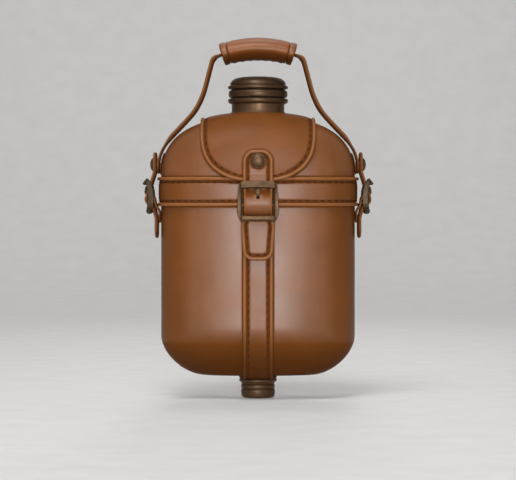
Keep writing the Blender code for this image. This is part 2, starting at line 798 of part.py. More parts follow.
def trim(points, start, end):
    """A route shortened by a length at each end."""
    cutback = [p.copy() for p in points]
    for amount, order in ((start, 1), (end, -1)):
        cutback = cutback[::order]
        left = amount
        while left > (cutback[1] - cutback[0]).length:
            left -= (cutback[1] - cutback[0]).length
            cutback.pop(0)
        cutback[0] = cutback[0] + (cutback[1] - cutback[0]).normalized() * left
        cutback = cutback[::order]
    return cutback


# Buckles

def chape_turn(bar_z):
    """The strap's wrap round the centre bar, from its back over its top to its front."""
    radius = BAR_RADIUS + TURN_GAP + CHAPE_THICKNESS / 2
    return [
        Vector((BAR_DEPTH - radius * math.cos(a), bar_z + radius * math.sin(a)))
        for a in [math.radians(24 * i) for i in range(11)]
    ]


def chape_slot(name, bar_z, parent):
    """The slot in a chape that the tongue works in."""
    reach = BAR_RADIUS + TURN_GAP + 2 * TONGUE_RADIUS + FIT
    half = TONGUE_RADIUS + 2 * FIT
    return cutter(name + "_tongue_slot", box_mesh(
        name + "_tongue_slot",
        (-half, -BAR_DEPTH - 2 * reach, bar_z - reach),
        (half, -FIT, bar_z + reach),
    ), parent)


def plate_mesh(name, side, top_rise, tip_rise, top_depth, roller_drop):
    """One side of a buckle's frame: an outline in depth and height, given its thickness."""
    outline = [
        (ROLLER_DEPTH - 2.2 * MM, -roller_drop - 2.0 * MM),
        (ROLLER_DEPTH + 2.2 * MM, -roller_drop - 2.0 * MM),
        (ROLLER_DEPTH + 2.6 * MM, -roller_drop + 2.0 * MM),
        (3.6 * MM, 0.0),
        (TIP_DEPTH, tip_rise),
        (top_depth + 0.4 * MM, top_rise - 0.4 * MM),
        (-0.6 * MM, tip_rise - 0.6 * MM),
        (-3.0 * MM, 1.5 * MM),
        (-2.8 * MM, -3.0 * MM),
    ]
    build = bmesh.new()
    start = side * PLATE_INNER
    ring = [build.verts.new((start, -(BAR_DEPTH + d), z)) for d, z in outline]
    face = build.faces.new(ring)
    grown = bmesh.ops.extrude_face_region(build, geom=[face])
    moved = [item for item in grown["geom"] if isinstance(item, bmesh.types.BMVert)]
    bmesh.ops.translate(build, vec=(side * PLATE_THICKNESS, 0, 0), verts=moved)
    bmesh.ops.recalc_face_normals(build, faces=build.faces)
    mesh = bpy.data.meshes.new(name)
    build.to_mesh(mesh)
    build.free()
    return mesh


def top_bar_mesh(name, top_rise, tip_rise, top_depth):
    """The frame's top bar: a flat bar that slopes out from the strap to its tip."""
    high = Vector((top_depth, top_rise))
    low = Vector((TIP_DEPTH, tip_rise - 1.6 * MM))
    slope = (low - high).normalized()
    out = Vector((-slope.y, slope.x)) * TOP_BAR_THICKNESS
    corners = [high, low, low + out, high + out * 0.8]
    reach = PLATE_INNER + PLATE_THICKNESS / 2
    build = bmesh.new()
    rings = [[build.verts.new((x, -(BAR_DEPTH + c.x), c.y)) for c in corners] for x in (-reach, reach)]
    build.faces.new(rings[0])
    build.faces.new(rings[1])
    for i in range(4):
        j = (i + 1) % 4
        build.faces.new((rings[0][i], rings[0][j], rings[1][j], rings[1][i]))
    bmesh.ops.recalc_face_normals(build, faces=build.faces)
    mesh = bpy.data.meshes.new(name)
    build.to_mesh(mesh)
    build.free()
    return mesh


def frame_mesh(kind, top_rise, tip_rise, top_depth, roller_drop):
    """A whole buckle frame about its centre bar, joined into one solid."""
    reach = PLATE_INNER + PLATE_THICKNESS / 2
    shift = Matrix.Translation((0, BAR_DEPTH, 0))
    pieces = [
        plate_mesh(kind + "_plate_a", -1, top_rise, tip_rise, top_depth, roller_drop),
        plate_mesh(kind + "_plate_b", 1, top_rise, tip_rise, top_depth, roller_drop),
        top_bar_mesh(kind + "_top_bar", top_rise, tip_rise, top_depth),
        rod_mesh(kind + "_centre_bar", (-reach, -BAR_DEPTH, 0), (reach, -BAR_DEPTH, 0), BAR_RADIUS, 12),
        rod_mesh(
            kind + "_roller_bar",
            (-reach, -BAR_DEPTH - ROLLER_DEPTH, -roller_drop),
            (reach, -BAR_DEPTH - ROLLER_DEPTH, -roller_drop),
            BAR_RADIUS, 12,
        ),
    ]
    base = cutter(kind + "_frame", pieces[0])
    for mesh in pieces[1:]:
        cut(base, cutter(mesh.name, mesh), "UNION")
    bpy.context.view_layer.update()
    graph = bpy.context.evaluated_depsgraph_get()
    joined = bpy.data.meshes.new_from_object(base.evaluated_get(graph))
    joined.transform(shift)
    return joined


def roller_mesh(name):
    """A sleeve along X with a running clearance on its bar."""
    bore = BAR_RADIUS + TURN_GAP
    half = PLATE_INNER - FIT
    outer, inner = [], []
    for x in (-half, half):
        for ring, radius in ((outer, ROLLER_RADIUS), (inner, bore)):
            angles = [2 * math.pi * i / SMALL_TURN_STEPS for i in range(SMALL_TURN_STEPS)]
            ring.append([Vector((x, radius * math.cos(a), radius * math.sin(a))) for a in angles])
    verts, faces = bridge([outer[0], outer[1], inner[1], inner[0], outer[0]])
    build = bmesh.new()
    mesh = mesh_from(verts, faces, name)
    build.from_mesh(mesh)
    bmesh.ops.remove_doubles(build, verts=build.verts, dist=0.00001)
    bmesh.ops.recalc_face_normals(build, faces=build.faces)
    build.to_mesh(mesh)
    build.free()
    return mesh


def tongue_points():
    """The tongue's wire: an open loop round the bar, then out through the strap and up."""
    radius = BAR_RADIUS + 0.75 * TURN_GAP + TONGUE_RADIUS
    loop = [
        Vector((0, -radius * math.cos(a), radius * math.sin(a)))
        for a in [math.radians(-50 - 20 * i) for i in range(12)]
    ]
    face = HUG + STRAP_THICKNESS / 2 + FIT + TONGUE_RADIUS
    out = [
        Vector((0, -0.35 * face, radius + 0.3 * MM)),
        Vector((0, -0.8 * face, radius + 1.1 * MM)),
        Vector((0, -0.96 * face, radius + 2.6 * MM)),
        Vector((0, -0.88 * face, 0.7 * TONGUE_REACH)),
        Vector((0, -0.72 * face, TONGUE_REACH)),
    ]
    return loop + out


def buckle(name, frame, mount, bar_z, roller_drop):
    """A frame, its tongue and its roller, each with its origin on its bar."""
    made = add_object(name + "_buckle", frame, BUCKLE_BRONZE, mount)
    made.location = (0, -BAR_DEPTH, bar_z)
    tongue = tube(name + "_tongue", tongue_points(), TONGUE_RADIUS, BUCKLE_BRONZE, parent=mount)
    tongue.location = (0, -BAR_DEPTH, bar_z)
    roller = add_object(name + "_roller", roller_mesh(name + "_roller"), BUCKLE_BRONZE, mount)
    roller.location = (0, -BAR_DEPTH - ROLLER_DEPTH, bar_z - roller_drop)
    smooth(roller, 50.0)


def stud(name, mount, z, face, back):
    """A domed rivet: its head on a strap's face, its shank through to the back."""
    steps = 4
    dome = [
        (STUD_RADIUS * math.sin(a), STUD_HEIGHT * math.cos(a) + FIT)
        for a in [math.radians(90) * i / steps for i in range(steps + 1)]
    ]
    depth = face - back
    profile = dome + [(SHANK_RADIUS, FIT), (SHANK_RADIUS, -depth), (0.0, -depth)]
    made = turned(name, profile, BUCKLE_BRONZE, SMALL_TURN_STEPS, False, mount)
    made.rotation_euler = (math.radians(90), 0, 0)
    made.location = (0, -face, z)


# Straps on the body

def shoulder_lean(z, half):
    """How far the body has curved in at a height, from its widest."""
    return half(z) - half(SHOULDER_Z)


def make_front():
    """The front billet, its stud and the buckle that it passes through."""
    mount = empty("front_mount", (0, -BODY_HALF_DEPTH, 0))
    bar_z = FRONT_BAR_Z
    roller_z = bar_z - FRONT_ROLLER_DROP
    top = FRONT_STUD_Z + STUD_TO_END
    middle = FRONT_STUD_Z + STUD_TO_END / 2
    path = route([
        (FLAP_LIE + shoulder_lean(top, half_depth), top, 0.0),
        (FLAP_LIE + shoulder_lean(middle, half_depth), middle, 0.0),
        (FLAP_LIE + BEND, FRONT_STUD_Z - STUD_RADIUS + MM, BEND),
        (FLAP_LIFTED + FLAP_THICKNESS, BELT_TOP_Z + MM, -LAP - 2 * FIT),
        (FLAP_LIFTED + WELT_RADIUS, FLAP_TIP_Z + WELT_RADIUS, -OVER_WELT),
        (BAR_DEPTH, bar_z, -HUG),
        (BAR_DEPTH + ROLLER_DEPTH, roller_z, ROLLER_HUG),
        (STRAP_OVER_STRAP, roller_z - BEND, 0.0),
        (STRAP_OVER_STRAP, roller_z - FRONT_FREE_END, 0.0),
    ])
    billet("front_billet", path, mount, FRONT_STUD_Z, bar_z)
    stud("front_stud", mount, FRONT_STUD_Z, FLAP_LIE + STRAP_THICKNESS / 2, FIT)
    frame = frame_mesh("front", FRONT_TOP_RISE, FRONT_TIP_RISE, FRONT_TOP_DEPTH, FRONT_ROLLER_DROP)
    buckle("front", frame, mount, bar_z, FRONT_ROLLER_DROP)


def base_strap_path():
    """From the back stud down, under the bottom, up the front and round the front bar."""
    top = FRONT_STUD_Z + STUD_TO_END
    straight = BODY_Z + BOTTOM_RISE_Y
    low_welt = BELT_Z - BELT_HALF_HEIGHT + WELT_RADIUS
    bar_z = FRONT_BAR_Z
    release = (LAP + BEND, low_welt - 2 * BEND, BEND)
    back = route([
        (FLAP_LIE + shoulder_lean(top, half_depth), top, 0.0),
        (SKIN_GAP + WELT_RADIUS, FLAP_BACK_TIP_Z + WELT_RADIUS, -OVER_WELT),
        (WELT_DEPTH, BELT_TOP_Z - WELT_RADIUS, -OVER_WELT),
        (WELT_DEPTH, low_welt, -OVER_WELT),
        release,
        (LAP, straight, 0.0),
    ])
    turn = chape_turn(bar_z)
    front = route([
        (turn[0].x, bar_z, 0.0),
        (WELT_DEPTH, low_welt, -WELT_RADIUS - FIT - CHAPE_THICKNESS / 2),
        release,
        (LAP, straight, 0.0),
    ])
    bottom = [skin_point(math.radians(-90), z, LAP) for z in body_rows() if z < straight - MM]
    bottom = [Vector((-p.y, p.z)) for p in bottom]
    eye = [
        Vector((-EYE_RADIUS * math.cos(math.radians(22.5 * i)), BODY_Z - LAP))
        for i in range(9)
    ]
    out = Vector((BODY_HALF_DEPTH, 0))
    flip = Matrix(((-1, 0), (0, 1)))
    path = [flip @ (p + out) for p in back] + [flip @ p for p in reversed(bottom)]
    path += eye + bottom + [p + out for p in reversed(front)]
    return path, [p + out for p in turn[1:]]


def eye_width(spots, extra):
    """Widths of the base strap with its round eye at the outlet, grown by an extra margin."""
    grown = []
    for point, width in spots:
        reach = (EYE_RADIUS + extra) ** 2 - point.x ** 2
        low = point.y < BODY_Z
        grown.append((point, max(width, math.sqrt(reach)) if low and reach > 0 else width))
    return grown


def make_base_strap():
    """The strap under the flask, the welt along its edges and the stud on its back end."""
    inset = 2 * WELT_RADIUS + FIT
    strip = STRAP_HALF_WIDTH - inset
    outer = STRAP_HALF_WIDTH - WELT_RADIUS
    path, turn = base_strap_path()
    spots = with_ends(trim(path, inset, 0.0), strip, 0.0, strip)
    spots += [(p, strip) for p in turn]
    strap = ribbon("base_strap", eye_width(spots, 0.0), CHAPE_THICKNESS, STRAP_LEATHER, None)
    hole = rod_mesh("outlet_hole", (0, 0, 0), (0, 0, BODY_Z + LAP), OUTLET_RADIUS + FIT, 24)
    hole.transform(Matrix.Rotation(math.radians(5.0), 4, "Z"))
    cut(strap, cutter("outlet_hole", hole))
    reach = 2 * BODY_HALF_DEPTH
    hole = rod_mesh("stud_hole", (0, -reach, FRONT_STUD_Z), (0, reach, FRONT_STUD_Z), SHANK_RADIUS + FIT, 12)
    stud_hole = cutter("stud_hole", hole)
    cut(strap, stud_hole)
    cut(bpy.data.objects["shoulder_flap"], stud_hole)
    cut(strap, chape_slot("base_strap", FRONT_BAR_Z, bpy.data.objects["front_mount"]))
    smooth(strap)
    edge = with_ends(trim(path, WELT_RADIUS, 0.0), outer, 0.0, outer)
    edge = [(p, w) for p, w in edge if p.x < 0 or p.y < BELT_Z - BELT_HALF_HEIGHT - 1.5 * BEND]
    welt_loop("base_strap_welt", eye_width(edge, FIT + WELT_RADIUS), EDGE_LEATHER, None, closed=False)
    back = empty("back_mount", (0, BODY_HALF_DEPTH, 0), 180.0)
    stud("back_stud", back, FRONT_STUD_Z, FLAP_LIE + CHAPE_THICKNESS / 2 + 3 * FIT, FIT)


def make_side(name, sign, frame):
    """One side's anchor patch, billet, chape, buckle and stud."""
    mount = empty(name + "_mount", (sign * BODY_HALF_WIDTH, 0, 0), sign * 90.0)
    bar_z = SIDE_BAR_Z
    roller_z = bar_z - SIDE_ROLLER_DROP
    low_welt = BELT_Z - BELT_HALF_HEIGHT + WELT_RADIUS
    lean = shoulder_lean(SIDE_STUD_Z, half_width)
    patch_z = [SIDE_STUD_Z - PATCH_BELOW, SIDE_STUD_Z, SIDE_STUD_Z + PATCH_ABOVE / 2, SIDE_STUD_Z + PATCH_ABOVE]
    patch_path = [
        Vector((FIT + PATCH_THICKNESS / 2 + shoulder_lean(z, half_width), z)) for z in patch_z
    ]
    patch_spots = with_ends(patch_path, PATCH_BELOW, PATCH_BELOW, PATCH_HALF_WIDTH)
    patch = ribbon(name + "_anchor_patch", patch_spots, PATCH_THICKNESS, STRAP_LEATHER, mount)
    reach = 30 * MM
    hole = rod_mesh(name + "_patch_hole", (0, 0, SIDE_STUD_Z), (0, -reach, SIDE_STUD_Z), SHANK_RADIUS + FIT, 12)
    hole.transform(Matrix.Translation((0, reach / 2, 0)))
    cut(patch, cutter(name + "_patch_hole", hole, mount))
    lie = HANDLE_DEPTH + HANDLE_THICKNESS / 2 + LAP
    top = SIDE_STUD_Z + SIDE_STUD_TO_END
    path = route([
        (lie, top, 0.0),
        (lie + BEND, SIDE_STUD_Z - STUD_RADIUS + MM, BEND),
        (WELT_DEPTH, BELT_TOP_Z - WELT_RADIUS, -OVER_WELT),
        (BAR_DEPTH, bar_z, -HUG),
        (BAR_DEPTH + ROLLER_DEPTH, roller_z, ROLLER_HUG),
        (SIDE_FREE_DEPTH, roller_z - BEND, 0.0),
        (SIDE_FREE_DEPTH, roller_z - SIDE_FREE_END, 0.0),
    ])
    billet(name + "_billet", path, mount, SIDE_STUD_Z, bar_z)
    stud(name + "_stud", mount, SIDE_STUD_Z, lie + STRAP_THICKNESS / 2, lean + FIT)
    turn = chape_turn(bar_z)
    rest = FIT + CHAPE_THICKNESS / 2
    tail = route([
        (turn[0].x, bar_z, 0.0),
        (WELT_DEPTH, low_welt, -WELT_RADIUS - rest),
        (rest + BEND, low_welt - 1.3 * BEND, BEND),
        (rest, bar_z - SIDE_TAIL, 0.0),
    ])
    spots = with_ends(tail[::-1], CHAPE_HALF_WIDTH, 0.0, CHAPE_HALF_WIDTH)
    spots += [(p, CHAPE_HALF_WIDTH) for p in turn[1:]]
    chape = ribbon(name + "_chape", spots, CHAPE_THICKNESS, STRAP_LEATHER, mount)
    cut(chape, chape_slot(name + "_chape", bar_z, mount))
    smooth(chape)
    buckle(name, frame, mount, bar_z, SIDE_ROLLER_DROP)


# Handle

def handle_path():
    """The strap's line from the right stud over the grip to the left, as (x, height above the hinge)."""
    start = BODY_HALF_WIDTH + HANDLE_DEPTH
    grip = GRIP_Z - SIDE_STUD_Z - GRIP_ARC_RADIUS
    entry = GRIP_ARC_RADIUS - ENTRY_RADIUS
    half = [
        (start, -HANDLE_END_RADIUS, 0.0),
        (start - SHOULDER_PULLEY, SHOULDER_Z + PULLEY_ABOVE_SHOULDER - SIDE_STUD_Z, SHOULDER_PULLEY),
        (HOLLOW_X, grip + GRIP_ARC_RADIUS - HOLLOW_BELOW_GRIP, -HOLLOW_RADIUS),
        (entry * math.sin(ENTRY_ANGLE), grip + entry * math.cos(ENTRY_ANGLE), ENTRY_RADIUS),
    ]
    far = [(-x, z, r) for x, z, r in reversed(half)]
    return route(half + [(0.0, grip, GRIP_ARC_RADIUS)] + far, 9.0)


def grip_ring(angle, section):
    """A section of the grip placed at an angle along its arc, from (across, out) pairs."""
    centre = GRIP_Z - SIDE_STUD_Z - GRIP_ARC_RADIUS
    ring = []
    for across, out in section:
        radius = GRIP_ARC_RADIUS + out
        ring.append(Vector((radius * math.sin(angle), across, centre + radius * math.cos(angle))))
    return ring


def oval(shrink, first=0.0, last=360.0, count=20, lift=0.0):
    """Points round the grip's oval section, made smaller by an amount."""
    whole = last - first >= 360.0
    steps = count if whole else count - 1
    points = []
    for i in range(count):
        a = math.radians(first + (last - first) * i / steps)
        across = (GRIP_HALF_DEPTH - shrink) * math.cos(a)
        points.append((across, (GRIP_HALF_HEIGHT - shrink) * math.sin(a) + lift))
    return points


def grip_shell(name, start, end, steps, proud, finish, parent):
    """A leather sleeve round the grip between two angles."""
    angles = [start + (end - start) * i / steps for i in range(steps + 1)]
    verts, faces = bridge([grip_ring(a, oval(-proud)) for a in angles])
    made = add_object(name, mesh_from(verts, faces, name), finish, parent)
    solidify(made, GRIP_WALL + proud, INWARD)
    smooth(made, 50.0)


def grip_core(name, first, last, lift, half_angle, parent):
    """Padding over or under the strap: a flat-sided half oval along the grip's arc."""
    angles = [half_angle * (i / 3 - 1) for i in range(7)]
    section = oval(GRIP_WALL + FIT, first, last, 9, lift)
    rings = [grip_ring(a, section) for a in angles]
    verts, faces = bridge(rings)
    count = len(section)
    faces.append(tuple(range(count)))
    faces.append(tuple(range(len(verts) - count, len(verts))))
    build = bmesh.new()
    mesh = mesh_from(verts, faces, name)
    build.from_mesh(mesh)
    bmesh.ops.recalc_face_normals(build, faces=build.faces)
    build.to_mesh(mesh)
    build.free()
    add_object(name, mesh, FELT, parent)


def make_handle():
    """The carrying strap on the side studs and the padded grip round its middle."""
    hinge = empty("handle_hinge", (0, 0, SIDE_STUD_Z))
    spots = with_ends(handle_path(), HANDLE_END_RADIUS, HANDLE_END_RADIUS, HANDLE_HALF_WIDTH)
    verts, faces = [], []
    for point, width in spots:
        verts += [(point.x, -width, point.y), (point.x, width, point.y)]
    for i in range(len(spots) - 1):
        a = 2 * i
        faces.append((a, a + 1, a + 3, a + 2))
    strap = add_object("handle_strap", mesh_from(verts, faces, "handle_strap"), STRAP_LEATHER, hinge)
    solidify(strap, HANDLE_THICKNESS, 0.0)
    reach = 2 * BODY_HALF_WIDTH
    cut(strap, cutter("handle_holes", rod_mesh(
        "handle_holes", (-reach, 0, 0), (reach, 0, 0), SHANK_RADIUS + FIT, 12
    ), hinge))
    smooth(strap)
    half_angle = math.asin((GRIP_HALF_LENGTH - MM) / GRIP_ARC_RADIUS)
    band = GRIP_BAND_LENGTH / GRIP_ARC_RADIUS
    gap = FIT / GRIP_ARC_RADIUS
    edge = half_angle - band
    grip_shell("grip_wrap", -edge, edge, 8, 0.0, GRIP_LEATHER, hinge)
    grip_shell("grip_band_left", -half_angle, -edge - gap, 1, GRIP_BAND_PROUD, STRAP_LEATHER, hinge)
    grip_shell("grip_band_right", edge + gap, half_angle, 1, GRIP_BAND_PROUD, STRAP_LEATHER, hinge)
    lift = HANDLE_THICKNESS / 2 + FIT
    tilt = math.degrees(math.asin(lift / (GRIP_HALF_HEIGHT - GRIP_WALL - FIT)))
    grip_core("grip_padding_upper", tilt, 180.0 - tilt, 0.0, half_angle, hinge)
    grip_core("grip_padding_lower", 180.0 + tilt, 360.0 - tilt, 0.0, half_angle, hinge)


make_body()
make_neck()
make_outlet()
make_flap()
make_belt()
make_front()
make_base_strap()
for side_name, side_sign in (("left", -1), ("right", 1)):
    side_frame = frame_mesh(side_name, SIDE_TOP_RISE, SIDE_TIP_RISE, SIDE_TOP_DEPTH, SIDE_ROLLER_DROP)
    make_side(side_name, side_sign, side_frame)
make_handle()
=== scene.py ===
"""Looks of the leather-covered flask: sewn leather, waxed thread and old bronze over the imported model.

Metres, +Z up, the front faces -Y. The sizes repeat those of the part's source.
"""
import bisect
import math

import bmesh
import bpy
from mathutils import Matrix, Vector, noise


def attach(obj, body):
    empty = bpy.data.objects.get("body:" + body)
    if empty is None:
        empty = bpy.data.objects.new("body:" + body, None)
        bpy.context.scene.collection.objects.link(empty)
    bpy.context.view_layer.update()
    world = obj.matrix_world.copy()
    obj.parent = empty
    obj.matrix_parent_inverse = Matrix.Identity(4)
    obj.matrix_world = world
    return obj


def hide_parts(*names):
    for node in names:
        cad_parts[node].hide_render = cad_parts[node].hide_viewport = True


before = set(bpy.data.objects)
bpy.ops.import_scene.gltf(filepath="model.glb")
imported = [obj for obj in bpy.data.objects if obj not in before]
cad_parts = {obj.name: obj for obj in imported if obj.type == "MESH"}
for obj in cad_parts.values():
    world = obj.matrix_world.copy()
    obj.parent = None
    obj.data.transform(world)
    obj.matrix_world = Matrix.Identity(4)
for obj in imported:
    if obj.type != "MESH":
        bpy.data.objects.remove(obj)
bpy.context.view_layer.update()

MM = 0.001
FIT = 0.3 * MM
SKIN_GAP = 1.0 * MM
TURN_GAP = 0.2 * MM
WELD_DISTANCE = 0.002 * MM

# Leather
JACKET_THICKNESS = 2.4 * MM
FLAP_THICKNESS = 2.0 * MM
STRAP_THICKNESS = 1.8 * MM
CHAPE_THICKNESS = 1.6 * MM
PATCH_THICKNESS = 0.8 * MM
WELT_RADIUS = 1.5 * MM
STRAP_HALF_WIDTH = 12.6 * MM
CHAPE_HALF_WIDTH = 9.2 * MM

# Sewing
STITCH_PITCH = 6.5 * MM
STITCH_LENGTH = 3.9 * MM
STITCH_RADIUS = 0.52 * MM
STITCH_INSET = 4.7 * MM
STITCH_SLANT = 0.14
STRIP_INSET = 2.8 * MM
CHANNEL_DEPTH = 0.6 * MM
STITCH_DEPTH = CHANNEL_DEPTH - 0.1 * MM
CHANNEL_END = 3.4 * MM
CHANNEL_SLOPE = 1.1 * MM
EDGE_ROUND = 0.6 * MM
# How far in from its edge a strap's face has its rows of points
INSETS = [i * MM for i in (0.0, 0.2, 0.5, 1.0, 1.6, 2.2, 2.7, 3.2, 3.8, 4.8)]
LIP = 1.2 * MM
SEAM_GAP_ANGLE = 0.0006
SEAM_CHANNEL_DEPTH = 0.45 * MM
SEAM_STITCH_DEPTH = 0.42 * MM
PLAIN_GROWTH = 1.3 * MM
PLAIN_BULGE = 0.5 * MM
PLAIN_EDGE = 0.95 * MM

# Painted shade on the leather, darker low down and at the sides, and on the flap's top
LOW_SHADE = 0.9
LOW_SHADE_TOP = 66.0 * MM
LOW_SHADE_REACH = 40.0 * MM
SIDE_SHADE = 0.3
SIDE_SHADE_X = 52.0 * MM
SIDE_SHADE_REACH = 16.0 * MM
FLAP_SHADE_BELOW_NECK = 26.0 * MM
FLAP_SHADE_REACH = 20.0 * MM

# Bottom outlet
DRAIN_CAP_HEIGHT = 11.9 * MM
DRAIN_CAP_RADIUS = 14.4 * MM
DRAIN_CAP_ROUND = 3.2 * MM
DRAIN_CAP_FLOOR = 2.0 * MM
COLLAR_HEIGHT = 4.8 * MM
COLLAR_RADIUS = 16.0 * MM
EYE_RADIUS = 12.9 * MM
OUTLET_RADIUS = 9.6 * MM

# Body
BODY_HALF_WIDTH = 82.3 * MM
BODY_HALF_DEPTH = 45.0 * MM
BODY_SQUARENESS = 2.5
SIDE_HEIGHT = 166.9 * MM
SHOULDER_RISE = 53.0 * MM
SHOULDER_POWER = 2.5
FRONT_EXTRA_HEIGHT = 8.0 * MM
BOTTOM_INSET_X = 35.0 * MM
BOTTOM_RISE_X = 32.4 * MM
BOTTOM_INSET_Y = 25.0 * MM
BOTTOM_RISE_Y = 42.0 * MM
BOTTOM_POWER = 1.7
JACKET_NECK_RADIUS = 25.5 * MM
JACKET_HOLE = 10.2 * MM

# Neck and cap
NECK_RADIUS = 22.3 * MM
NECK_BORE = 16.5 * MM
NECK_THREAD_RADIUS = 19.8 * MM
NECK_SHOW = 8.6 * MM
NECK_SPIGOT_RADIUS = 18.6 * MM
NECK_SPIGOT_LENGTH = 5.0 * MM
CAP_HEIGHT = 22.6 * MM
CAP_TOP = 4.6 * MM
CAP_BORE = 20.6 * MM
GASKET_THICKNESS = 1.4 * MM
NECK_THREAD_PITCH = 4.0 * MM
THREAD_DEPTH = 0.5 * MM
# Radius and height of the cap's outside from its top down, in millimetres
CAP_SHAPE = [
    (0.0, 273.75), (8.0, 273.75), (12.3, 273.6), (16.6, 273.0), (19.6, 272.1), (21.4, 271.0), (22.8, 269.6),
    (23.5, 268.2), (23.7, 267.2), (23.3, 266.6), (23.5, 266.2), (24.8, 266.0), (25.6, 265.2), (25.6, 264.0),
    (24.8, 263.2), (22.6, 263.0), (22.6, 262.2), (24.2, 262.0), (24.9, 260.6), (25.1, 258.8), (24.9, 257.0),
    (24.2, 256.1), (22.7, 255.9), (22.7, 255.3), (24.6, 255.1), (25.5, 254.1), (25.5, 252.7), (24.7, 251.2),
    (23.2, 250.6), (22.6, 250.35),
]

# Flap and belt
FLAP_HALF_WIDTH = 47.5 * MM
FLAP_CORNER_HEIGHT = 39.0 * MM
FLAP_POWER = 2.4
FLAP_TIP_BELOW_BELT_TOP = 4.4 * MM
FLAP_BACK_TIP_ABOVE_BELT = 1.6 * MM
BELT_BELOW_SHOULDER = 11.5 * MM
BELT_HALF_HEIGHT = 12.3 * MM

# Buckles
BAR_RADIUS = 1.5 * MM
BAR_DEPTH = 7.7 * MM
ROLLER_RADIUS = 2.5 * MM
ROLLER_DEPTH = 2.1 * MM
PLATE_THICKNESS = 3.8 * MM
TOP_BAR_THICKNESS = 2.6 * MM
TIP_DEPTH = 5.6 * MM
TONGUE_RADIUS = 1.0 * MM
FRONT_BAR_BELOW_BELT = 8.0 * MM
SIDE_BAR_BELOW_BELT = 6.5 * MM
FRONT_SHAPE = {"rise": 17.0 * MM, "tip": 12.6 * MM, "depth": 3.4 * MM, "drop": 14.2 * MM}
SIDE_SHAPE = {"rise": 17.4 * MM, "tip": 14.2 * MM, "depth": 2.8 * MM, "drop": 9.9 * MM}
# How finely a buckle's parts are melted together, and how often the result is eased
MELT_VOXEL = 0.36 * MM
MELT_EASING = 9
CROWN_RADIUS = 8.5 * MM
CROWN_PROUD = 0.6 * MM
CROWN_BELOW_BAR = 2.0 * MM
# Where the tongue goes above its bar: how far out and how high, in millimetres
TONGUE_LINE = [(4.6, 4.1), (5.7, 5.4), (5.6, 7.4), (4.9, 10.2)]
# How much wider the tongue's tip gets, and over which shares of its length
DROP_SPREAD = 1.9
DROP_START = 0.72
DROP_LENGTH = 0.2
TONGUE_HOLE_RADIUS = 1.5 * MM
TONGUE_HOLE_HEIGHT = 3.6 * MM
FRONT_HOLE_TALL = 1.3
SIDE_HOLE_TALL = 1.8
CHAPE_HOLE_RADIUS = 1.8 * MM
CHAPE_HOLE_TALL = 1.5

# Studs and strap ends
STUD_RADIUS = 6.4 * MM
STUD_HEIGHT = 3.2 * MM
SHANK_RADIUS = 1.6 * MM
STUD_PRESS = 0.45 * MM
FRONT_STUD_ABOVE_BELT = 25.5 * MM
SIDE_STUD_ABOVE_BELT = 23.0 * MM
STUD_TO_END = 11.5 * MM
SIDE_STUD_TO_END = 10.5 * MM
FRONT_FREE_END = 35.0 * MM
SIDE_FREE_END = 23.0 * MM
SIDE_FREE_DEPTH = 3.7 * MM
SIDE_TAIL = 20.0 * MM
PATCH_BELOW = 8.6 * MM
PATCH_ABOVE = 10.0 * MM
PATCH_HALF_WIDTH = 9.2 * MM
BEND = 6.0 * MM
END_CORNER = 9.8 * MM
END_TRIM = 2.2 * MM
FREE_END_GROWTH = 1.6 * MM
FREE_END_TAPER = 1.5 * MM
FREE_CORNER = 8.6 * MM
BUCKLE_NARROWING = 0.4 * MM

# Handle
HANDLE_HALF_WIDTH = 12.4 * MM
HANDLE_THICKNESS = 1.8 * MM
HANDLE_END_RADIUS = 8.4 * MM
HANDLE_WELT_RADIUS = 1.8 * MM
SHOULDER_PULLEY = 32.0 * MM
PULLEY_ABOVE_SHOULDER = 9.3 * MM
HOLLOW_RADIUS = 74.0 * MM
HOLLOW_X = 116.2 * MM
ROLL_LIFT_FROM = 248.0 * MM
ROLL_LIFT_TO = 232.0 * MM
HOLLOW_BELOW_GRIP = 13.35 * MM
ENTRY_RADIUS = 8.0 * MM
ENTRY_ANGLE = math.radians(20.0)
GRIP_OVER_CAP = 23.5 * MM
GRIP_HALF_LENGTH = 33.6 * MM
GRIP_ARC_RADIUS = 100.0 * MM
GRIP_HALF_HEIGHT = 9.35 * MM
GRIP_HALF_DEPTH = 15.0 * MM
GRIP_WALL = 1.8 * MM
GRIP_BAND_LENGTH = 5.5 * MM
GRIP_TURN_IN = 1.1 * MM
GRIP_SEAM_DEGREES = 270.0
GRIP_STITCH_DEGREES = 11.0

# Studio
FLOOR_LIFT = 0.14
WORLD_LIGHT = 0.1
WORLD_SEEN = 0.2
CAMERA_DISTANCE = 2.0
CAMERA_HEIGHT = 0.175
CAMERA_PITCH = 1.17
CAMERA_FOCAL = 164.0
SENSOR_WIDTH = 36.0

# Heights
COLLAR_Z = DRAIN_CAP_HEIGHT + FIT
EYE_Z = COLLAR_Z + COLLAR_HEIGHT + FIT
BODY_Z = EYE_Z + CHAPE_THICKNESS / 2 + WELT_RADIUS + FIT
SHOULDER_Z = BODY_Z + SIDE_HEIGHT
FRONT_SHOULDER_Z = SHOULDER_Z + FRONT_EXTRA_HEIGHT


def rounded(share, power):
    """Height of a superellipse arc at a share of its half width."""
    return (1.0 - min(max(share, 0.0), 1.0) ** power) ** (1.0 / power)


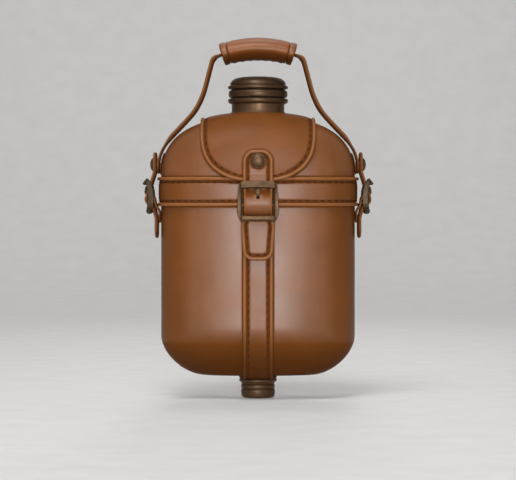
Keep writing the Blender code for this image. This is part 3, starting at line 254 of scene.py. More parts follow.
NECK_Z = SHOULDER_Z + SHOULDER_RISE * rounded(JACKET_NECK_RADIUS / BODY_HALF_WIDTH, SHOULDER_POWER)
FRONT_RISE = (NECK_Z - FRONT_SHOULDER_Z) / rounded(JACKET_NECK_RADIUS / BODY_HALF_DEPTH, SHOULDER_POWER)
BELT_Z = SHOULDER_Z - BELT_BELOW_SHOULDER
BELT_TOP_Z = BELT_Z + BELT_HALF_HEIGHT
LOW_WELT_Z = BELT_Z - BELT_HALF_HEIGHT + WELT_RADIUS
FLAP_TIP_Z = BELT_TOP_Z - FLAP_TIP_BELOW_BELT_TOP
FLAP_BACK_TIP_Z = BELT_TOP_Z + FLAP_BACK_TIP_ABOVE_BELT
NECK_SEAT_Z = NECK_Z - 0.9 * (JACKET_THICKNESS + SKIN_GAP) + FIT
FLAP_TOP_Z = NECK_Z + SKIN_GAP + FLAP_THICKNESS
CAP_Z = FLAP_TOP_Z + NECK_SHOW
CAP_TOP_Z = CAP_Z + CAP_HEIGHT
NECK_TOP_Z = CAP_TOP_Z - CAP_TOP - GASKET_THICKNESS - 2 * FIT
GRIP_Z = CAP_TOP_Z + GRIP_OVER_CAP
SIDE_STUD_Z = BELT_Z + SIDE_STUD_ABOVE_BELT
FRONT_STUD_Z = BELT_Z + FRONT_STUD_ABOVE_BELT
FRONT_BAR_Z = BELT_Z - FRONT_BAR_BELOW_BELT
SIDE_BAR_Z = BELT_Z - SIDE_BAR_BELOW_BELT
WELT_DEPTH = FIT + WELT_RADIUS
FLAP_LIFT = 2 * FIT + 2 * WELT_RADIUS - SKIN_GAP
HANDLE_DEPTH = FIT + PATCH_THICKNESS + FIT + HANDLE_THICKNESS / 2
LAP = WELT_RADIUS + FIT
HUG = BAR_RADIUS + TURN_GAP + CHAPE_THICKNESS + FIT + STRAP_THICKNESS / 2
ROLLER_HUG = ROLLER_RADIUS + LAP
PLATE_INNER = STRAP_HALF_WIDTH + 2.6 * FIT
OVER_WELT = WELT_RADIUS + LAP
FLAP_LIE = SKIN_GAP + FLAP_THICKNESS + LAP
STRAP_OVER_STRAP = LAP + WELT_RADIUS + LAP

# Colours, linear
BODY_TAN = (0.210, 0.067, 0.0127)
FLAP_TAN = (0.206, 0.066, 0.0138)
STRAP_TAN = (0.214, 0.070, 0.0158)
EDGE_TAN = (0.268, 0.095, 0.023)
EDGE_DARK_TAN = (0.205, 0.090, 0.032)
GRIP_TAN = (0.250, 0.075, 0.0153)
# Brown of the sewn channels, also used for painted shade beside parts
CHANNEL_AND_SHADE_BROWN = (0.112, 0.033, 0.008)
THREAD = (0.040, 0.014, 0.005)
BRONZE = (0.116, 0.062, 0.025)
BRONZE_DARK = (0.038, 0.019, 0.008)
CAP_BRONZE = (0.117, 0.063, 0.028)
CAP_DARK = (0.035, 0.017, 0.007)
TIN = (0.55, 0.56, 0.57)
TIN_DARK = (0.25, 0.25, 0.25)
FELT_GREY = (0.22, 0.19, 0.15)
RUBBER_BLACK = (0.03, 0.03, 0.03)
FLOOR_LIGHT = (0.60, 0.59, 0.58)
FLOOR_DARK = (0.56, 0.55, 0.54)


# Materials

def new_material(name):
    """An empty node material with its shader and the object's own coordinates."""
    made = bpy.data.materials.new(name)
    made.use_nodes = True
    tree = made.node_tree
    return made, tree, tree.nodes["Principled BSDF"], add_node(tree, "TexCoord", {})["Object"]


def feed(tree, node, inputs):
    """Sets a node's inputs to numbers, or links them to the outputs of other nodes."""
    for key, value in inputs.items():
        if isinstance(value, bpy.types.NodeSocket):
            tree.links.new(value, node.inputs[key])
        else:
            node.inputs[key].default_value = value


def add_node(tree, kind, inputs, **settings):
    """The outputs of a new node."""
    made = tree.nodes.new("ShaderNode" + kind)
    for key, value in settings.items():
        setattr(made, key, value)
    feed(tree, made, inputs)
    return made.outputs


def add_noise(tree, place, scale, detail, roughness=0.55):
    """A cloudy number from 0 to 1."""
    inputs = {"Scale": scale, "Detail": detail, "Roughness": roughness, "Vector": place}
    return add_node(tree, "TexNoise", inputs)["Fac"]


def remap(tree, value, low, high, to_low, to_high):
    """A number taken evenly from one range to another, and held at its ends."""
    inputs = {"Value": value, "From Min": low, "From Max": high, "To Min": to_low, "To Max": to_high}
    return add_node(tree, "MapRange", inputs)["Result"]


def combine(tree, operation, first, second=0.0):
    """A maths node on two sockets or numbers."""
    return add_node(tree, "Math", {0: first, 1: second}, operation=operation)["Value"]


def mix_colour(tree, share, first, second):
    """A colour between two; the colour inputs of this node are its seventh and eighth."""
    inputs = {"Factor": share}
    for key, value in ((6, first), (7, second)):
        inputs[key] = (*value, 1.0) if isinstance(value, tuple) else value
    return add_node(tree, "Mix", inputs, data_type="RGBA")[2]


def read_mark(tree, name):
    """A number that the modelling code left on the vertices."""
    return add_node(tree, "Attribute", {}, attribute_name=name)["Fac"]


def add_bump(tree, height, distance, strength, under=None):
    """A surface roughened by a height, over another bump where there is one."""
    inputs = {"Distance": distance, "Strength": strength, "Height": height}
    if under is not None:
        inputs["Normal"] = under
    return add_node(tree, "Bump", inputs)["Normal"]


def scaled(colour, factor):
    """A colour made darker or lighter."""
    return tuple(channel * factor for channel in colour)


def fade(tree, distance, reach):
    """One at a distance of nothing, down to zero at the reach."""
    return remap(tree, distance, 0.0, reach, 1.0, 0.0)


def strap_side_shade(tree, axes, top, reach):
    """Painted shade beside the strap down the middle, which ends rounded at its top."""
    across = combine(tree, "SUBTRACT", combine(tree, "ABSOLUTE", axes["X"]), STRAP_HALF_WIDTH - END_CORNER)
    above = combine(tree, "SUBTRACT", axes["Z"], top - END_CORNER)
    squares = [combine(tree, "POWER", combine(tree, "MAXIMUM", away), 2.0) for away in (across, above)]
    away = combine(tree, "SQRT", combine(tree, "ADD", *squares))
    return fade(tree, combine(tree, "SUBTRACT", away, END_CORNER), reach)


def flap_edge_shade(tree, axes, reach):
    """Painted shade on the jacket along the flap's edge."""
    tip = remap(tree, axes["Y"], -MM, MM, FLAP_TIP_Z, FLAP_BACK_TIP_Z)
    below = combine(tree, "SUBTRACT", combine(tree, "ADD", tip, FLAP_CORNER_HEIGHT), axes["Z"])
    below = combine(tree, "DIVIDE", combine(tree, "MAXIMUM", below), FLAP_CORNER_HEIGHT)
    across = combine(tree, "DIVIDE", combine(tree, "ABSOLUTE", axes["X"]), FLAP_HALF_WIDTH)
    away = combine(tree, "ADD", *(combine(tree, "POWER", share, FLAP_POWER) for share in (below, across)))
    away = combine(tree, "SUBTRACT", combine(tree, "POWER", away, 1.0 / FLAP_POWER), 1.0)
    return fade(tree, away, reach / FLAP_CORNER_HEIGHT)


def jacket_contact_shade(tree, axes):
    """Where painted shade darkens the jacket: beside the strap, the belt and the flap."""
    from_belt = combine(tree, "ABSOLUTE", combine(tree, "SUBTRACT", axes["Z"], BELT_Z))
    by_belt = fade(tree, combine(tree, "SUBTRACT", from_belt, BELT_HALF_HEIGHT), 2.0 * MM)
    by_strap = strap_side_shade(tree, axes, BELT_Z, 1.8 * MM)
    by_flap = flap_edge_shade(tree, axes, 1.8 * MM)
    return combine(tree, "MAXIMUM", by_flap, combine(tree, "MAXIMUM", by_belt, by_strap))


def flap_top_contact_shade(tree, axes):
    """Where painted shade darkens the flap: beside the strap and round the neck."""
    squares = [combine(tree, "POWER", axes[key], 2.0) for key in ("X", "Y")]
    away = combine(tree, "SQRT", combine(tree, "ADD", *squares))
    by_neck = fade(tree, combine(tree, "SUBTRACT", away, NECK_RADIUS + MM), 2.4 * MM)
    by_strap = strap_side_shade(tree, axes, FRONT_STUD_Z + STUD_TO_END - END_TRIM, 1.6 * MM)
    return combine(tree, "MAXIMUM", by_neck, by_strap)


def belt_under_buckle_shade(tree, axes):
    """Painted shade on the belt under the buckle."""
    return strap_side_shade(tree, axes, BELT_Z + 2 * BELT_HALF_HEIGHT, 3.2 * MM)


def leather(name, colour, roughness=0.42, grain=0.5, shade_mask=None, shine=0.55):
    """Vegetable-tanned leather: mottled dye, fine pores, darkened sewing channels and rubbed edges, with
    painted shade from vertex marks and masks.
    """
    made, tree, shader, place = new_material(name)
    cloudy = add_noise(tree, place, 22.0, 5.0, 0.6)
    speckle = add_noise(tree, place, 420.0, 3.0)
    wrinkles = add_noise(tree, place, 170.0, 6.0, 0.62)
    pores = add_node(tree, "TexVoronoi", {"Scale": 1150.0, "Vector": place})["Distance"]
    painted_shade, groove_and_shade = read_mark(tree, "painted_shade"), read_mark(tree, "groove_and_shade")
    # Painted shade from a mask: darker beside the strap, the belt, the flap's edge and the neck, mixed into
    # the groove colour.
    if shade_mask:
        axes = add_node(tree, "SeparateXYZ", {"Vector": place})
        mask_darkness = combine(tree, "MULTIPLY", combine(tree, "POWER", shade_mask(tree, axes), 1.5), 0.85)
        groove_and_shade = combine(tree, "MAXIMUM", groove_and_shade, mask_darkness)
    shade = remap(tree, cloudy, 0.32, 0.72, 0.0, 1.0)
    dyed = mix_colour(tree, shade, scaled(colour, 0.84), scaled(colour, 1.12))
    spots = remap(tree, speckle, 0.56, 0.78, 0.0, 0.35)
    # The third mark is painted shade: darker low down, at the sides, on the flap's top and under the grip.
    for share, factor in ((spots, 0.6), (read_mark(tree, "worn"), 1.45), (painted_shade, 0.42)):
        dyed = mix_colour(tree, share, dyed, scaled(colour, factor))
    gloss = remap(tree, cloudy, 0.3, 0.7, roughness - 0.06, roughness + 0.08)
    dull = combine(tree, "MAXIMUM", groove_and_shade, painted_shade)
    normal = add_bump(tree, pores, 0.12 * MM, 0.35 * grain)
    feed(tree, shader, {
        "Base Color": mix_colour(tree, groove_and_shade, dyed, CHANNEL_AND_SHADE_BROWN),
        "Roughness": combine(tree, "ADD", gloss, remap(tree, groove_and_shade, 0.0, 1.0, 0.0, 0.25)),
        "Specular IOR Level": remap(tree, dull, 0.0, 0.4, shine, 0.03),
        "Normal": add_bump(tree, wrinkles, 0.35 * MM, 0.3 * grain, normal),
    })
    return made


def metal(name, colour, dark, roughness=0.48, metallic=0.6):
    """Cast metal with a dark patina in its hollows, rubbed bright on its edges and finely pitted."""
    made, tree, shader, place = new_material(name)
    cloudy = add_noise(tree, place, 90.0, 6.0, 0.65)
    edges = add_node(tree, "NewGeometry", {})["Pointiness"]
    tone = mix_colour(tree, remap(tree, cloudy, 0.45, 0.7, 0.0, 0.65), colour, dark)
    tone = mix_colour(tree, remap(tree, edges, 0.50, 0.56, 0.0, 1.0), tone, scaled(colour, 1.3))
    tone = mix_colour(tree, remap(tree, edges, 0.49, 0.44, 0.0, 1.0), tone, dark)
    normal = add_bump(tree, add_noise(tree, place, 900.0, 4.0), 0.06 * MM, 0.4)
    # The vertex mark mixed in below is painted shade, set only on the buckles' cheeks.
    feed(tree, shader, {
        "Base Color": mix_colour(tree, read_mark(tree, "groove_and_shade"), tone, dark),
        "Roughness": remap(tree, cloudy, 0.3, 0.75, roughness - 0.08, roughness + 0.16),
        "Metallic": metallic,
        "Normal": add_bump(tree, cloudy, 0.12 * MM, 0.35, normal),
    })
    return made


def plain_stuff(name, colour, roughness, scale, depth):
    """Thread, felt or rubber: a fibrous or grained matt stuff."""
    made, tree, shader, place = new_material(name)
    fibres = add_noise(tree, place, scale, 6.0, 0.7)
    share = remap(tree, fibres, 0.35, 0.65, 0.0, 1.0)
    feed(tree, shader, {
        "Base Color": mix_colour(tree, share, scaled(colour, 0.6), scaled(colour, 1.25)),
        "Roughness": remap(tree, fibres, 0.3, 0.7, roughness - 0.08, roughness),
        "Specular IOR Level": 0.2,
        "Normal": add_bump(tree, fibres, depth, 0.6),
    })
    return made


BODY_LEATHER = leather("body_leather", BODY_TAN, shade_mask=jacket_contact_shade, shine=0.82)
FLAP_LEATHER = leather("flap_leather", FLAP_TAN, roughness=0.48, shade_mask=flap_top_contact_shade, shine=0.28)
BELT_LEATHER = leather("belt_leather", STRAP_TAN, shade_mask=belt_under_buckle_shade, shine=0.68)
STRAP_LEATHER = leather("strap_leather", STRAP_TAN)
EDGE_LEATHER = leather("edge_leather", EDGE_TAN, roughness=0.48, grain=0.35, shine=0.35)
DARK_EDGE_LEATHER = leather("dark_edge_leather", EDGE_DARK_TAN, roughness=0.48, grain=0.35, shine=0.4)
GRIP_LEATHER = leather("grip_leather", GRIP_TAN, roughness=0.44, grain=0.8, shine=0.42)
BUCKLE_BRONZE = metal("buckle_bronze", BRONZE, BRONZE_DARK)
# Painted shade: the side buckles use a darker copy of the buckle bronze, so they look shaded at the flask's
# sides.
SHADED_SIDE_BRONZE = metal("side_bronze_shaded", scaled(BRONZE, 0.43), scaled(BRONZE_DARK, 0.55), roughness=0.5)
DARK_BRONZE = metal("dark_bronze", CAP_BRONZE, CAP_DARK)
# Painted light: the screw cap has a darker copy of the bronze as painted shade, the neck ring a lighter copy
# as a painted highlight.
SHADED_CAP_METAL = metal("cap_bronze_shaded", scaled(CAP_BRONZE, 0.68), scaled(CAP_DARK, 0.6), roughness=0.42)
LIT_NECK_METAL = metal("neck_bronze_lit", scaled(CAP_BRONZE, 1.15), scaled(CAP_DARK, 1.4))
TINNED = metal("tinned_steel", TIN, TIN_DARK, roughness=0.36, metallic=1.0)
WAXED_THREAD = plain_stuff("waxed_thread", THREAD, roughness=0.62, scale=2400.0, depth=0.1 * MM)
FELT = plain_stuff("felt_padding", FELT_GREY, roughness=0.96, scale=1300.0, depth=0.3 * MM)
RUBBER = plain_stuff("seal_rubber", RUBBER_BLACK, roughness=0.8, scale=700.0, depth=0.05 * MM)


# Meshes

def smooth_step(share):
    """An eased way from zero to one."""
    share = min(max(share, 0.0), 1.0)
    return share * share * (3.0 - 2.0 * share)


def bell(distance, reach):
    """One at a distance of nothing, fading away on both sides."""
    return math.exp(-(distance / reach) ** 2)


def turns(count):
    """Evenly spaced angles round a full circle."""
    return [2 * math.pi * i / count for i in range(count)]


def add_object(name, data):
    """An object put in the scene."""
    made = bpy.data.objects.new(name, data)
    bpy.context.scene.collection.objects.link(made)
    return made


def piece(name, verts, faces, finish, body, nodes=(), marks=None, crease=50.0):
    """A finished piece: its mesh, its material, the body it rides on and the nodes it stands for."""
    mesh = bpy.data.meshes.new(name)
    mesh.from_pydata([tuple(v) for v in verts], [], faces)
    # Every piece gets painted shade towards the bottom unless its marks say otherwise.
    marks = {"painted_shade": [low_shade(v.z) for v in verts], **(marks or {})}
    for key, values in marks.items():
        mesh.attributes.new(key, "FLOAT", "POINT").data.foreach_set("value", values)
    build = bmesh.new()
    build.from_mesh(mesh)
    bmesh.ops.remove_doubles(build, verts=build.verts, dist=WELD_DISTANCE)
    bmesh.ops.recalc_face_normals(build, faces=build.faces)
    build.to_mesh(mesh)
    build.free()
    mesh.shade_smooth()
    mesh.set_sharp_from_angle(angle=math.radians(crease))
    mesh.materials.append(finish)
    made = add_object(name, mesh)
    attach(made, body)
    if nodes:
        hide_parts(*nodes)
    return made


def bake_modifiers(made):
    """Applies the modifiers of an object to its mesh."""
    bpy.context.view_layer.update()
    graph = bpy.context.evaluated_depsgraph_get()
    mesh = bpy.data.meshes.new_from_object(made.evaluated_get(graph))
    made.modifiers.clear()
    made.data = mesh


def thicken(made, thickness):
    """Gives a sheet of leather its thickness, inwards."""
    layer = made.modifiers.new("thickness", "SOLIDIFY")
    layer.thickness = thickness
    layer.offset = -1.0
    bake_modifiers(made)


def cut_hole(made, start, end, radius, flat=1.0):
    """Takes a round or oval bar out of a piece."""
    start, end = Vector(start), Vector(end)
    build = bmesh.new()
    bmesh.ops.create_cone(
        build, cap_ends=True, segments=40, radius1=radius, radius2=radius, depth=(end - start).length
    )
    bmesh.ops.scale(build, vec=(1.0, flat, 1.0), verts=build.verts)
    turn = Vector((0, 0, 1)).rotation_difference(end - start).to_matrix().to_4x4()
    bmesh.ops.transform(build, matrix=Matrix.Translation((start + end) / 2) @ turn, verts=build.verts)
    mesh = bpy.data.meshes.new("hole")
    build.to_mesh(mesh)
    build.free()
    bar = add_object("hole", mesh)
    step = made.modifiers.new("hole", "BOOLEAN")
    step.operation = "DIFFERENCE"
    step.solver = "EXACT"
    step.object = bar
    bake_modifiers(made)
    bpy.data.objects.remove(bar, do_unlink=True)


def soften(profile, times=2):
    """A profile with its corners cut off again and again, so that it turns smoothly."""
    for _ in range(times):
        softer = [profile[0]]
        for (r1, z1), (r2, z2) in zip(profile, profile[1:]):
            softer.append((0.75 * r1 + 0.25 * r2, 0.75 * z1 + 0.25 * z2))
            softer.append((0.25 * r1 + 0.75 * r2, 0.25 * z1 + 0.75 * z2))
        profile = softer + [profile[-1]]
    return profile


def grid_faces(rows, columns, wrap_rows=False, wrap_columns=True):
    """Quads over a grid of points, row after row."""
    faces = []
    for row in range(rows if wrap_rows else rows - 1):
        for column in range(columns if wrap_columns else columns - 1):
            a = row * columns + column
            b = row * columns + (column + 1) % columns
            step = ((row + 1) % rows - row) * columns
            faces.append((a, b, b + step, a + step))
    return faces


def lathe(profile, steps=128, closed=False, place=None, thread=None):
    """A turned body from (radius, height) points, with a helical thread cut where asked."""
    verts = []
    for radius, height in profile:
        cut = thread and thread["low"] < height < thread["high"] and radius > 0.9 * thread["radius"]
        for i, angle in enumerate(turns(steps)):
            reach = radius
            if cut:
                turn = height / thread["pitch"] - i / steps
                ends = min(height - thread["low"], thread["high"] - height) / thread["pitch"]
                reach -= thread["depth"] * min(ends * 2, 1.0) * (0.5 + 0.5 * math.cos(2 * math.pi * turn))
            verts.append(Vector((reach * math.cos(angle), reach * math.sin(angle), height)))
    if place is not None:
        verts = [place @ v for v in verts]
    return verts, grid_faces(len(profile), steps, wrap_rows=closed)


def loft(rings):
    """Vertices and faces of a body through equal rings, closed at both ends."""
    count = len(rings[0])
    verts = [point for ring in rings for point in ring]
    faces = grid_faces(len(rings), count)
    faces.append(tuple(range(count)))
    faces.append(tuple(range(len(verts) - count, len(verts))))
    return verts, faces


def join(parts):
    """One mesh out of several."""
    verts, faces = [], []
    for part_verts, part_faces in parts:
        start = len(verts)
        verts += part_verts
        faces += [tuple(start + i for i in face) for face in part_faces]
    return verts, faces


def along(points, step):
    """Points put in between, so that no two are further apart than the step."""
    filled = [points[0]]
    for a, b in zip(points, points[1:]):
        count = max(1, math.ceil((b - a).length / step))
        filled += [a.lerp(b, (i + 1) / count) for i in range(count)]
    return filled


def running_lengths(points):
    """How far along its line each point is."""
    lengths = [0.0]
    for a, b in zip(points, points[1:]):
        lengths.append(lengths[-1] + (b - a).length)
    return lengths


def find_spot(lengths, length):
    """The stretch of a line that a length falls in, and how far into that stretch."""
    index = min(max(bisect.bisect_left(lengths, length) - 1, 0), len(lengths) - 2)
    return index, (length - lengths[index]) / max(lengths[index + 1] - lengths[index], 1e-9)


def thinned(points, gap=0.1 * MM):
    """Points left out where they are closer than the gap to the one before."""
    kept = [points[0]]
    for point in points[1:]:
        if (point - kept[-1]).length > gap:
            kept.append(point)
    return kept


def even(points, normals, sizes, step, closed):
    """Points, normals and sizes at an even spacing along a line."""
    if closed:
        points, normals, sizes = points + points[:1], normals + normals[:1], sizes + sizes[:1]
    lengths = running_lengths(points)
    count = max(2, round(lengths[-1] / step))
    found = ([], [], [])
    for i in range(count if closed else count + 1):
        index, share = find_spot(lengths, lengths[-1] * i / count)
        found[0].append(points[index].lerp(points[index + 1], share))
        found[1].append(normals[index].lerp(normals[index + 1], share).normalized())
        found[2].append(sizes[index] + (sizes[index + 1] - sizes[index]) * share)
    return found


def sweep(points, normals, radius, closed=True, sides=16):
    """A round cord along points, with rounded ends where it is open."""
    count = len(points)
    sizes = radius if isinstance(radius, list) else [radius] * count
    verts = []
    for i, (point, normal) in enumerate(zip(points, normals)):
        before = points[i - 1] if closed or i > 0 else point
        after = points[(i + 1) % count] if closed or i < count - 1 else point
        tangent = (after - before).normalized()
        side = tangent.cross(normal).normalized()
        up = side.cross(tangent).normalized()
        verts += [point + sizes[i] * (up * math.cos(a) + side * math.sin(a)) for a in turns(sides)]
    faces = grid_faces(count, sides, wrap_rows=closed)
    if closed:
        return verts, faces
    for end, inner in ((0, 1), (count - 1, count - 2)):
        outward = (points[end] - points[inner]).normalized() * sizes[end]
        ring = verts[end * sides:(end + 1) * sides]
        previous = end * sides
        for share in (0.5, 0.85):
            start = len(verts)
            shrink = math.sqrt(1 - share * share)
            verts += [points[end] + (v - points[end]) * shrink + outward * share for v in ring]
            for k in range(sides):
                m = (k + 1) % sides
                faces.append((previous + k, previous + m, start + m, start + k))
            previous = start
        faces.append(tuple(range(previous, previous + sides)))
    return verts, faces


# Body surface

def half_width(z):
    """Half width of the jacket's outside at a height."""
    if z > SHOULDER_Z:
        return BODY_HALF_WIDTH * rounded((z - SHOULDER_Z) / SHOULDER_RISE, SHOULDER_POWER)
    turn = BODY_Z + BOTTOM_RISE_X
    drop = 1.0 - rounded((turn - z) / BOTTOM_RISE_X, BOTTOM_POWER)
    return BODY_HALF_WIDTH - BOTTOM_INSET_X * drop


def half_depth(z):
    """Half depth of the jacket's outside at a height."""
    if z > FRONT_SHOULDER_Z:
        return BODY_HALF_DEPTH * rounded((z - FRONT_SHOULDER_Z) / FRONT_RISE, SHOULDER_POWER)
    turn = BODY_Z + BOTTOM_RISE_Y
    drop = 1.0 - rounded((turn - z) / BOTTOM_RISE_Y, BOTTOM_POWER)
    return BODY_HALF_DEPTH - BOTTOM_INSET_Y * drop


def surface(angle, z):
    """A point of the jacket's outside, on a superellipse that rounds off to a circle at the neck."""
    share = min(max((z - SHOULDER_Z) / (NECK_Z - SHOULDER_Z), 0.0), 1.0)
    power = BODY_SQUARENESS + (2.0 - BODY_SQUARENESS) * share ** 2
    x, y = math.cos(angle), math.sin(angle)
    return Vector((
        half_width(z) * math.copysign(abs(x) ** (2.0 / power), x),
        half_depth(z) * math.copysign(abs(y) ** (2.0 / power), y),
        z,
    ))


def skin_normal(angle, z):
    """The direction that the jacket's outside looks in."""
    step, rise = 0.004, 0.05 * MM
    low, high = max(z - rise, BODY_Z), min(z + rise, NECK_Z)
    across = surface(angle + step, z) - surface(angle - step, z)
    return across.cross(surface(angle, high) - surface(angle, low)).normalized()


def skin_point(angle, z, offset=0.0):
    """A point a given distance outside the jacket."""
    return surface(angle, z) + skin_normal(angle, z) * offset


def body_rows():
    """Heights of the jacket's rows, close together where it curves."""
    low_turn = BODY_Z + BOTTOM_RISE_Y
    falls = [math.cos(math.radians(3.75 * i)) ** (2 / BOTTOM_POWER) for i in range(25)]
    lower = [low_turn - BOTTOM_RISE_Y * fall for fall in falls]
    count = round((SHOULDER_Z - low_turn) / (4 * MM))
    middle = [low_turn + (SHOULDER_Z - low_turn) * i / count for i in range(1, count)]
    reach = math.asin(((NECK_Z - SHOULDER_Z) / SHOULDER_RISE) ** (SHOULDER_POWER / 2))
    rises = [math.sin(reach * i / 30) ** (2 / SHOULDER_POWER) for i in range(31)]
    return lower + middle + [SHOULDER_Z + SHOULDER_RISE * rise for rise in rises]


def low_shade(z):
    """How much painted shade darkens the leather towards the bottom, where the body turns down away from the
    light.
    """
    return LOW_SHADE * smooth_step((LOW_SHADE_TOP - z) / LOW_SHADE_REACH)


def side_shade(spot):
    """How much painted shade darkens the leather at the flask's sides, up to the belt, where the light falls
    off.
    """
    beside = smooth_step((abs(spot.x) - SIDE_SHADE_X) / SIDE_SHADE_REACH)
    return SIDE_SHADE * beside * smooth_step((BELT_TOP_Z + 6 * MM - spot.z) / (8 * MM))


def seam_drop(distance):
    """How far a panel is sunk at a distance from the side seam: its turned edge and its sewn channel."""
    turned_in = LIP - math.sqrt(max(LIP ** 2 - max(LIP - distance, 0.0) ** 2, 0.0))
    return turned_in + SEAM_CHANNEL_DEPTH * bell(distance - STITCH_INSET, 0.9 * MM)


def make_jacket():
    """The jacket's two panels, turned in and sewn at the side seams."""
    columns = 121
    shares = [0.5 - 0.5 * math.cos(math.pi * i / (columns - 1)) for i in range(columns)]
    rows = body_rows()
    for name, start in (("front", math.pi), ("back", 0.0)):
        angles = [start + SEAM_GAP_ANGLE + (math.pi - 2 * SEAM_GAP_ANGLE) * s for s in shares]
        verts = []
        for share in (0.0, 0.25, 0.5, 0.75):
            for angle in angles:
                hole = Vector((JACKET_HOLE * math.cos(angle), JACKET_HOLE * math.sin(angle), BODY_Z))
                verts.append(hole.lerp(surface(angle, BODY_Z), share))
        bottom = len(verts)
        # The bottom face gets painted shade; the panels get channel darkness at the side seams, painted shade
        # low down and at the sides, and worn seam edges.
        groove_and_shade, painted_shade, worn = [0.0] * bottom, [0.8] * bottom, [0.0] * bottom
        for z in rows:
            for angle in angles:
                flat = surface(angle, z)
                distance = abs(flat.y)
                ripple = 0.10 * MM * noise.noise(flat * 45.0) + 0.05 * MM * noise.noise(flat * 140.0)
                verts.append(flat + skin_normal(angle, z) * (ripple - seam_drop(distance)))
                groove_and_shade.append(0.8 * bell(distance - STITCH_INSET, 0.7 * MM))
                painted_shade.append(max(low_shade(z), side_shade(flat)))
                worn.append(0.3 * bell(distance, 1.6 * MM))
        made = piece(
            "leather_panel_" + name, verts, grid_faces(len(verts) // columns, columns, wrap_columns=False),
            BODY_LEATHER, "flask", ["jacket_" + name],
            {"groove_and_shade": groove_and_shade, "painted_shade": painted_shade, "worn": worn},
        )
        thicken(made, JACKET_THICKNESS)


# Sewing

def stitch_row(name, points, normals, closed, body, hidden=None):
    """Waxed stitches at an even pitch along a line, left out where they are hidden."""
    loop = points + points[:1] if closed else points
    lengths = running_lengths(loop)
    count = max(1, round(lengths[-1] / STITCH_PITCH))
    stitches = []
    for i in range(count):
        index, share = find_spot(lengths, (i + 0.5) * lengths[-1] / count)
        if hidden and hidden[index] > 0.2:
            continue
        centre = loop[index].lerp(loop[index + 1], share)
        forward = (loop[index + 1] - loop[index]).normalized()
        up = normals[index % len(normals)]
        side = forward.cross(up).normalized()
        forward = (forward + STITCH_SLANT * side).normalized()
        side = forward.cross(up).normalized()
        rings = []
        for reach, size in ((-0.5, 0.25), (-0.42, 0.75), (-0.2, 1.0), (0.2, 1.0), (0.42, 0.75), (0.5, 0.25)):
            middle = centre + forward * reach * STITCH_LENGTH + up * (STITCH_RADIUS * (0.9 * size - 1.1))
            radius = STITCH_RADIUS * size
            rings.append([middle + (side * math.cos(a) + up * math.sin(a)) * radius for a in turns(8)])
        stitches.append(loft(rings))
    verts, faces = join(stitches)
    return piece(name, verts, faces, WAXED_THREAD, body)


def make_side_seams():
    """Stitch rows down both panels beside each side seam."""
    heights = [z for z in body_rows() if BODY_Z + 4 * MM < z < NECK_Z - 14 * MM]
    for name in SIDE_MOUNTS:
        for panel, side in (("front", -1), ("back", 1)):
            points, normals = [], []
            for z in heights:
                share = min(STITCH_INSET / half_depth(z), 1.0)
                angle = side * math.asin(share ** (BODY_SQUARENESS / 2))
                if name == "left":
                    angle = math.pi - angle
                points.append(skin_point(angle, z, -SEAM_STITCH_DEPTH))
                normals.append(skin_normal(angle, z))
            stitch_row(f"seam_stitches_{name}_{panel}", points, normals, False, "flask")


# Straps

def face_height(inset, half_thickness, sewn):
    """Height of a strap's face at a distance from its rounded edge, with a sewn channel before its middle."""
    edge = EDGE_ROUND - math.sqrt(max(EDGE_ROUND ** 2 - max(EDGE_ROUND - inset, 0.0) ** 2, 0.0))
    if not sewn:
        return half_thickness - edge
    rise = smooth_step((inset - CHANNEL_END + CHANNEL_SLOPE) / CHANNEL_SLOPE)
    return half_thickness - edge * 0.5 - CHANNEL_DEPTH * (1.0 - rise)


def rim_distance(s, across, first, last, half, corners):
    """How far a spot of a strap is from its edge, round its corners too."""
    away = half - abs(across)
    for corner, run in ((corners[0], s - first), (corners[1], last - s)):
        if not corner:
            continue
        side = abs(across) - (half - corner)
        if run < corner and side > 0.0:
            away = min(away, corner - math.hypot(corner - run, side))
        else:
            away = min(away, run)
    return max(away, 0.0)


def channel_dark(inset):
    """How dark a strap's sewn channel is at a distance from its edge."""
    return 1.0 - smooth_step((inset - CHANNEL_END + 1.4 * CHANNEL_SLOPE) / CHANNEL_SLOPE)


def strip_shares(half):
    """Where the columns of a strap's face lie, from one edge (-1) to the other (1)."""
    return [i / half - 1.0 for i in INSETS] + [0.0] + [1.0 - i / half for i in reversed(INSETS)]


class Track:
    """A strap's centre line in (depth, height), read by its length."""

    def __init__(self, points, turn):
        self.points = along(points, 0.8 * MM)
        self.lengths = running_lengths(self.points)
        self.total = self.lengths[-1]
        self.turn = turn

    def spot(self, length):
        index, share = find_spot(self.lengths, min(max(length, 0.0), self.total))
        return self.points[index].lerp(self.points[index + 1], share)

    def at(self, length):
        """The point at a length and the direction that the strap's face looks in."""
        run = self.spot(length + 0.9 * MM) - self.spot(length - 0.9 * MM)
        normal = Vector((-run.y, run.x)).normalized() * self.turn
        return self.spot(length), normal

    def off(self, length, height):
        """The point at a height above the centre line."""
        point, normal = self.at(length)
        return point + normal * height


def outline(first, last, half, corners, inset):
    """(length, half width) pairs of a strap inset from its outer edge, with rounded corners at its ends."""
    first, last = first + (inset if corners[0] else 0.0), last - (inset if corners[1] else 0.0)
    count = max(2, round((last - first) / (1.3 * MM)))
    spots = [first + (last - first) * i / count for i in range(count + 1)]
    for corner, end, sign in ((corners[0], first, 1), (corners[1], last, -1)):
        if corner:
            reach = corner - inset
            spots += [end + sign * reach * (1 - math.cos(math.radians(7.5 * i))) for i in range(13)]
    found = []
    for spot in sorted(spots):
        if found and spot - found[-1][0] < 0.02 * MM:
            continue
        width = (half(spot) if callable(half) else half) - inset
        for corner, away in ((corners[0], spot - first), (corners[1], last - spot)):
            if corner and away < corner - inset:
                reach = corner - inset
                width -= reach - math.sqrt(max(reach ** 2 - (reach - away) ** 2, 0.0))
        found.append((spot, width))
    return found


